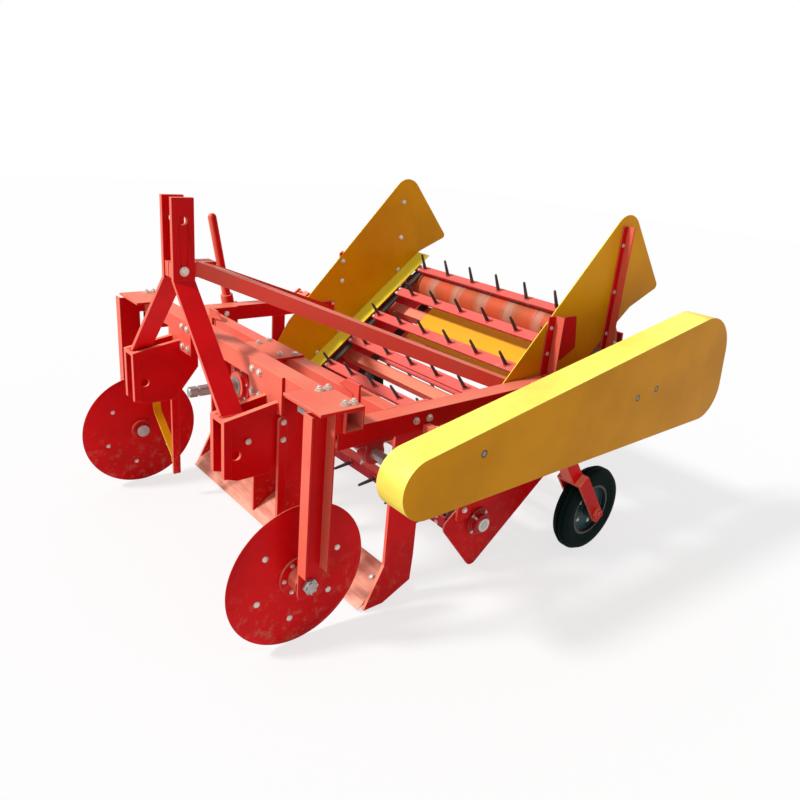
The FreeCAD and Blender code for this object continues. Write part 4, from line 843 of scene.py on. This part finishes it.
def gearbox_bolts(work):
    """Cap bolts, foot bolts, and the level and drain plugs."""
    x, z = DRIVE.x, DRIVE.z
    cap_bolt, foot_bolt = 0.005, 0.010
    for spot in spin_about(at(BOX_FRONT + 0.007, 0, z), ALONG, 0.0535, 6, CAP_SKEW):
        hex_bolt(work, spot, ALONG, cap_bolt, False)
    for sign in SIGNS:
        for spot in spin_about(at(x, 0.082, z, sign), sign * ACROSS, 0.0485, 6, CAP_SKEW):
            hex_bolt(work, spot, sign * ACROSS, cap_bolt, False)
    for spot in spin_about(at(BOX_LOW.x - 0.007, 0, z), -ALONG, 0.040, 4, QUARTER_SKEW):
        hex_bolt(work, spot, -ALONG, cap_bolt, False)
    hex_bolt(work, at(x + 0.03, 0.030, BOX_LOW.z), -UP, 0.009)
    hex_bolt(work, at(BOX_FRONT, 0.048, BOX_LOW.z + 0.022), ALONG, 0.007)
    mount = reach("gearbox_mount")[1].z
    for foot in (x - 0.042, x + 0.042):
        for sign in SIGNS:
            hex_bolt(work, at(foot, 0.072, mount, sign), UP, foot_bolt, thread=True)
    for offset in (-0.088, 0.088):
        hex_bolt(work, at((CROSS_LOW.x + CROSS_HIGH.x) / 2, offset, mount), UP, foot_bolt)


def input_shaft(work):
    """Shaft with its seal, a six-splined end and the groove for the yoke's lock."""
    low, high = reach("input_shaft")
    z = (low.z + high.z) / 2
    shoulder = high.x - 0.080
    matrix = stand(at(0, 0, z), ALONG)
    turned(work, [(0, low.x - 0.004), (0.020, low.x - 0.004), (0.020, shoulder - 0.004), (0.0165, shoulder),
                  (0.0142, shoulder), (0.0142, high.x - 0.002), (0.0125, high.x), (0, high.x)], matrix, 36)
    seal = [(0.020, low.x), (0.031, low.x), (0.031, low.x + 0.003), (0.020, low.x + 0.003)]
    turned(work, seal, matrix, 32)
    spline = [(0.0135, -0.0042), (0.0166, -0.0042), (0.01745, -0.0034), (0.01745, 0.0034),
              (0.0166, 0.0042), (0.0135, 0.0042)]
    for start, end in ((shoulder, shoulder + 0.045), (shoulder + 0.052, high.x - 0.002)):
        for tooth in range(6):
            around = Matrix.Rotation(math.pi / 3 * tooth, 4, "Z") @ Matrix.Translation((0, 0, start))
            prism(work, spline, matrix @ around, end - start)


piece("gearbox_covers", "machine", "cast_housing", gearbox_covers)
piece("gearbox_bolts", "machine", "shaft_steel", gearbox_bolts, BOLT_ZINC)
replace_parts(piece("splined_shaft", "machine", "shaft_steel", input_shaft), "input_shaft")


def pulley_bushes(work):
    """Taper bush and its three screws in each of the two belt pulleys."""
    for node, shaft, radius in (("front_pulley", 0.0152, 0.030), ("elevator_pulley", 0.0177, 0.042)):
        middle, face = middle_of(node), reach(node)[0].y
        bush = [(shaft, 0), (radius, 0), (radius - 0.001, 0.003), (shaft, 0.003)]
        turned(work, bush, stand(at(middle.x, face, middle.z), -ACROSS), 32)
        screws = at(middle.x, face - 0.003, middle.z)
        for spot in spin_about(screws, -ACROSS, (shaft + radius) / 2, 3):
            hex_bolt(work, spot, -ACROSS, 0.0035, False)


piece("pulley_bushes", "machine", "shaft_steel", pulley_bushes)


# ---- gauge wheels ------------------------------------------------------------------------------

FORK_RAKE = math.radians(37)
WHEEL_OFFSET = middle_of("left_gauge_tyre").y
TREAD = [(0.1002, 0.0258), (0.112, 0.0290), (0.114, 0.0285), (0.116, 0.0292), (0.135, 0.0320),
         (0.147, 0.0284), (0.155, 0.0260), (0.1597, 0.0185), (0.1550, 0.0178), (0.1550, 0.0162),
         (0.1616, 0.0155), (0.1650, 0.0100), (0.1650, 0.0034), (0.1590, 0.0026)]

for side, sign in SIDES:
    hub = Vector(joints[side + "_wheel_spin"]["pos_m"])
    outward = sign * ACROSS

    def tyre(work):
        """Ribbed tyre with a bead line on each wall."""
        profile = [(r, -y) for r, y in TREAD] + TREAD[::-1]
        turned(work, profile, stand(at(hub.x, WHEEL_OFFSET, hub.z, sign), outward), 96)

    def wheel_bolts(work):
        """Bolts through the wheel's disc on both faces."""
        for face in SIGNS:
            disc = at(hub.x, WHEEL_OFFSET + face * 0.005, hub.z, sign)
            for spot in spin_about(disc, face * outward, 0.060, 5):
                hex_bolt(work, spot, face * outward, 0.0075)

    def fork_clamp(work):
        """Plate and bolts that clamp the fork's stem to its shoe, and the axle's nut."""
        stem = Vector((math.sin(FORK_RAKE), 0, math.cos(FORK_RAKE)))
        middle = Vector((hub.x, 0, hub.z)) + stem * ((RAIL_LOW.z + RAIL_HIGH.z) / 2 - hub.z) / stem.z
        matrix = Matrix.Translation(at(middle.x, 0, middle.z, sign)) @ Matrix.Rotation(FORK_RAKE, 4, "Y")
        face = sign * (WHEEL_OFFSET + 0.025)
        plate = [(-0.040, -0.028), (0.040, -0.028), (0.044, -0.024), (0.044, 0.024), (0.040, 0.028),
                 (-0.040, 0.028), (-0.044, 0.024), (-0.044, -0.024)]
        thick = 0.008
        flat = matrix @ Matrix.Translation((0, face, 0)) @ Matrix.Rotation(-sign * math.pi / 2, 4, "X")
        prism(work, plate, flat, thick)
        for x in (-0.034, 0.034):
            for z in (-0.017, 0.017):
                hex_bolt(work, matrix @ Vector((x, face + sign * thick, z)), outward, 0.0085, thread=True)
                shank = [matrix @ Vector((x, sign * (WHEEL_OFFSET - step), z)) for step in (0.026, -0.024)]
                tube_along(work, shank, 0.0045, 10)
        leg = at(hub.x, WHEEL_OFFSET + 0.052, hub.z, sign)
        turned(work, [(0.0115, 0), (0.021, 0), (0.021, 0.010), (0.019, 0.012), (0.0115, 0.012)],
               stand(leg, outward, 0.2), 6)

    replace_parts(piece(side + "_ribbed_tyre", side + "_wheel", "tyre_rubber", tyre), side + "_gauge_tyre")
    piece(side + "_wheel_bolts", side + "_wheel", "shaft_steel", wheel_bolts, BOLT_ZINC)
    piece(side + "_fork_clamp", "machine", "red_paint", fork_clamp)


# ---- parking stand -----------------------------------------------------------------------------

STAND_RAKE = math.radians(11)
STAND_OFFSET = 0.700
RING_RADIUS, RING_STEPS = 0.016, 28


def stand_pin(work):
    """Locking pin through the stand's sleeve and its pull ring."""
    sleeve = middle_of("stand_sleeve")
    middle = at(sleeve.x, STAND_OFFSET, (RAIL_LOW.z + RAIL_HIGH.z) / 2, -1)
    matrix = Matrix.Translation(middle) @ Matrix.Rotation(STAND_RAKE, 4, "Y")
    out = matrix @ Matrix.Rotation(math.pi / 2, 4, "X")
    turned(work, [(0, 0.020), (0.010, 0.020), (0.010, 0.034), (0.006, 0.036), (0.006, 0.052),
                  (0.008, 0.053), (0.008, 0.060), (0, 0.061)], out, 20)
    turns = [math.pi / 2 + 2 * math.pi * step / RING_STEPS for step in range(RING_STEPS + 1)]
    ring = [Vector((RING_RADIUS * math.cos(a), RING_RADIUS * math.sin(a) - RING_RADIUS, 0.0565))
            for a in turns]
    tube_along(work, [out @ spot for spot in ring], 0.0022, 8)


piece("stand_pin", "machine", "shaft_steel", stand_pin, BOLT_ZINC)


# ---- studio ------------------------------------------------------------------------------------

CAMERA_SPOT = Vector((1.657, 1.991, 1.425))
CAMERA_YAW, CAMERA_PITCH, CAMERA_ROLL = -2.2912, -0.3595, 0.0903
SENSOR, FOCAL_SHARE = 36.0, 0.8864125
FLOOR_HALF, FLOOR_WHITE = 14.0, 0.72
FILL = 0.46
KEY_ENERGY, KEY_SPREAD = 3.0, math.radians(9)
KEY_FROM = Vector((0.68, -0.26, 0.69))
WHITE = colour(1, 1, 1)


def camera():
    """Camera at its spot, from its compass turn, its dip and its roll."""
    ahead = Vector((math.cos(CAMERA_PITCH) * math.cos(CAMERA_YAW),
                    math.cos(CAMERA_PITCH) * math.sin(CAMERA_YAW), math.sin(CAMERA_PITCH)))
    right = ahead.cross(UP).normalized()
    above = right.cross(ahead)
    roll_right = right * math.cos(CAMERA_ROLL) + above * math.sin(CAMERA_ROLL)
    roll_up = above * math.cos(CAMERA_ROLL) - right * math.sin(CAMERA_ROLL)
    data = bpy.data.cameras.new("camera")
    data.sensor_width = SENSOR
    data.lens = SENSOR * FOCAL_SHARE
    view = bpy.data.objects.new("camera", data)
    turn = Matrix((roll_right, roll_up, -ahead)).transposed().to_4x4()
    view.matrix_world = Matrix.Translation(CAMERA_SPOT) @ turn
    scene.collection.objects.link(view)
    scene.camera = view


def seen_share(finish):
    """1 for rays from the camera and for what metal or glass shows of the studio."""
    share = 0.0
    for name in ("Is Camera Ray", "Is Glossy Ray", "Is Transmission Ray"):
        share = finish.node("LightPath", {}, {}, name) + share
    return share.held()


def studio():
    """Pale floor, white surround and a broad lamp high in front."""
    scene.view_settings.view_transform = "Standard"
    floor_finish = Finish(bpy.data.materials.new("studio_floor"))
    matt = floor_finish.node("BsdfDiffuse", {}, {"Color": colour(0.86, 0.86, 0.86)})
    white = floor_finish.node("Emission", {}, {"Color": WHITE, "Strength": 1.0})
    share = seen_share(floor_finish) * FLOOR_WHITE
    mixed = floor_finish.node("MixShader", {}, {0: share, 1: matt, 2: white})
    floor_finish.node("OutputMaterial", {}, {"Surface": mixed})
    half = FLOOR_HALF
    corners = [(-half, -half, 0), (half, -half, 0), (half, half, 0), (-half, half, 0)]
    mesh = bpy.data.meshes.new("floor")
    mesh.from_pydata(corners, [], [(0, 1, 2, 3)])
    mesh.materials.append(floor_finish.owner)
    floor = bpy.data.objects.new("floor", mesh)
    scene.collection.objects.link(floor)
    world = Finish(bpy.data.worlds.new("surround"))
    scene.world = world.owner
    strength = FILL + seen_share(world) * (1.0 - FILL)
    sky = world.node("Background", {}, {"Color": WHITE, "Strength": strength})
    world.node("OutputWorld", {}, {"Surface": sky})
    lamp = bpy.data.lights.new("key", "SUN")
    lamp.energy = KEY_ENERGY
    lamp.angle = KEY_SPREAD
    key = bpy.data.objects.new("key", lamp)
    key.rotation_mode = "QUATERNION"
    key.rotation_quaternion = KEY_FROM.to_track_quat("Z", "Y")
    scene.collection.objects.link(key)


camera()
studio()


# ---- finish the frame's own nodes --------------------------------------------------------------

OWN_FINISH = {"drive_guard": GUARD_ENAMEL, "elevator_deck": DECK_ENAMEL, "upper_shaft": DRUM_PAINT}
BROKEN_EDGES = ("beam", "rail", "tube", "arm", "bar", "stay", "bracket", "posts", "shank", "lugs", "mount",
                "guard", "fork", "hangers", "blade", "gearbox")

SAME_SPOT, EDGE_BREAK, SHARP_OVER = 0.00002, 0.0012, math.radians(50)


def dress():
    """Give each node of the frame its slot's finish, and the sawn and cut ones slightly broken edges."""
    for part in frame["record"]["subparts"]:
        item = nodes[part["node"]]
        slot = part["material_slot"]
        item.data.materials.clear()
        item.data.materials.append(OWN_FINISH.get(part["node"], FINISHES[slot]))
        if any(word in part["node"] for word in BROKEN_EDGES):
            joined = item.modifiers.new("joined", "WELD")
            joined.merge_threshold = SAME_SPOT
            broken = item.modifiers.new("broken_edge", "BEVEL")
            broken.width = EDGE_BREAK
            broken.segments = 2
            broken.limit_method = "ANGLE"
            broken.angle_limit = SHARP_OVER
            broken.harden_normals = True


dress()
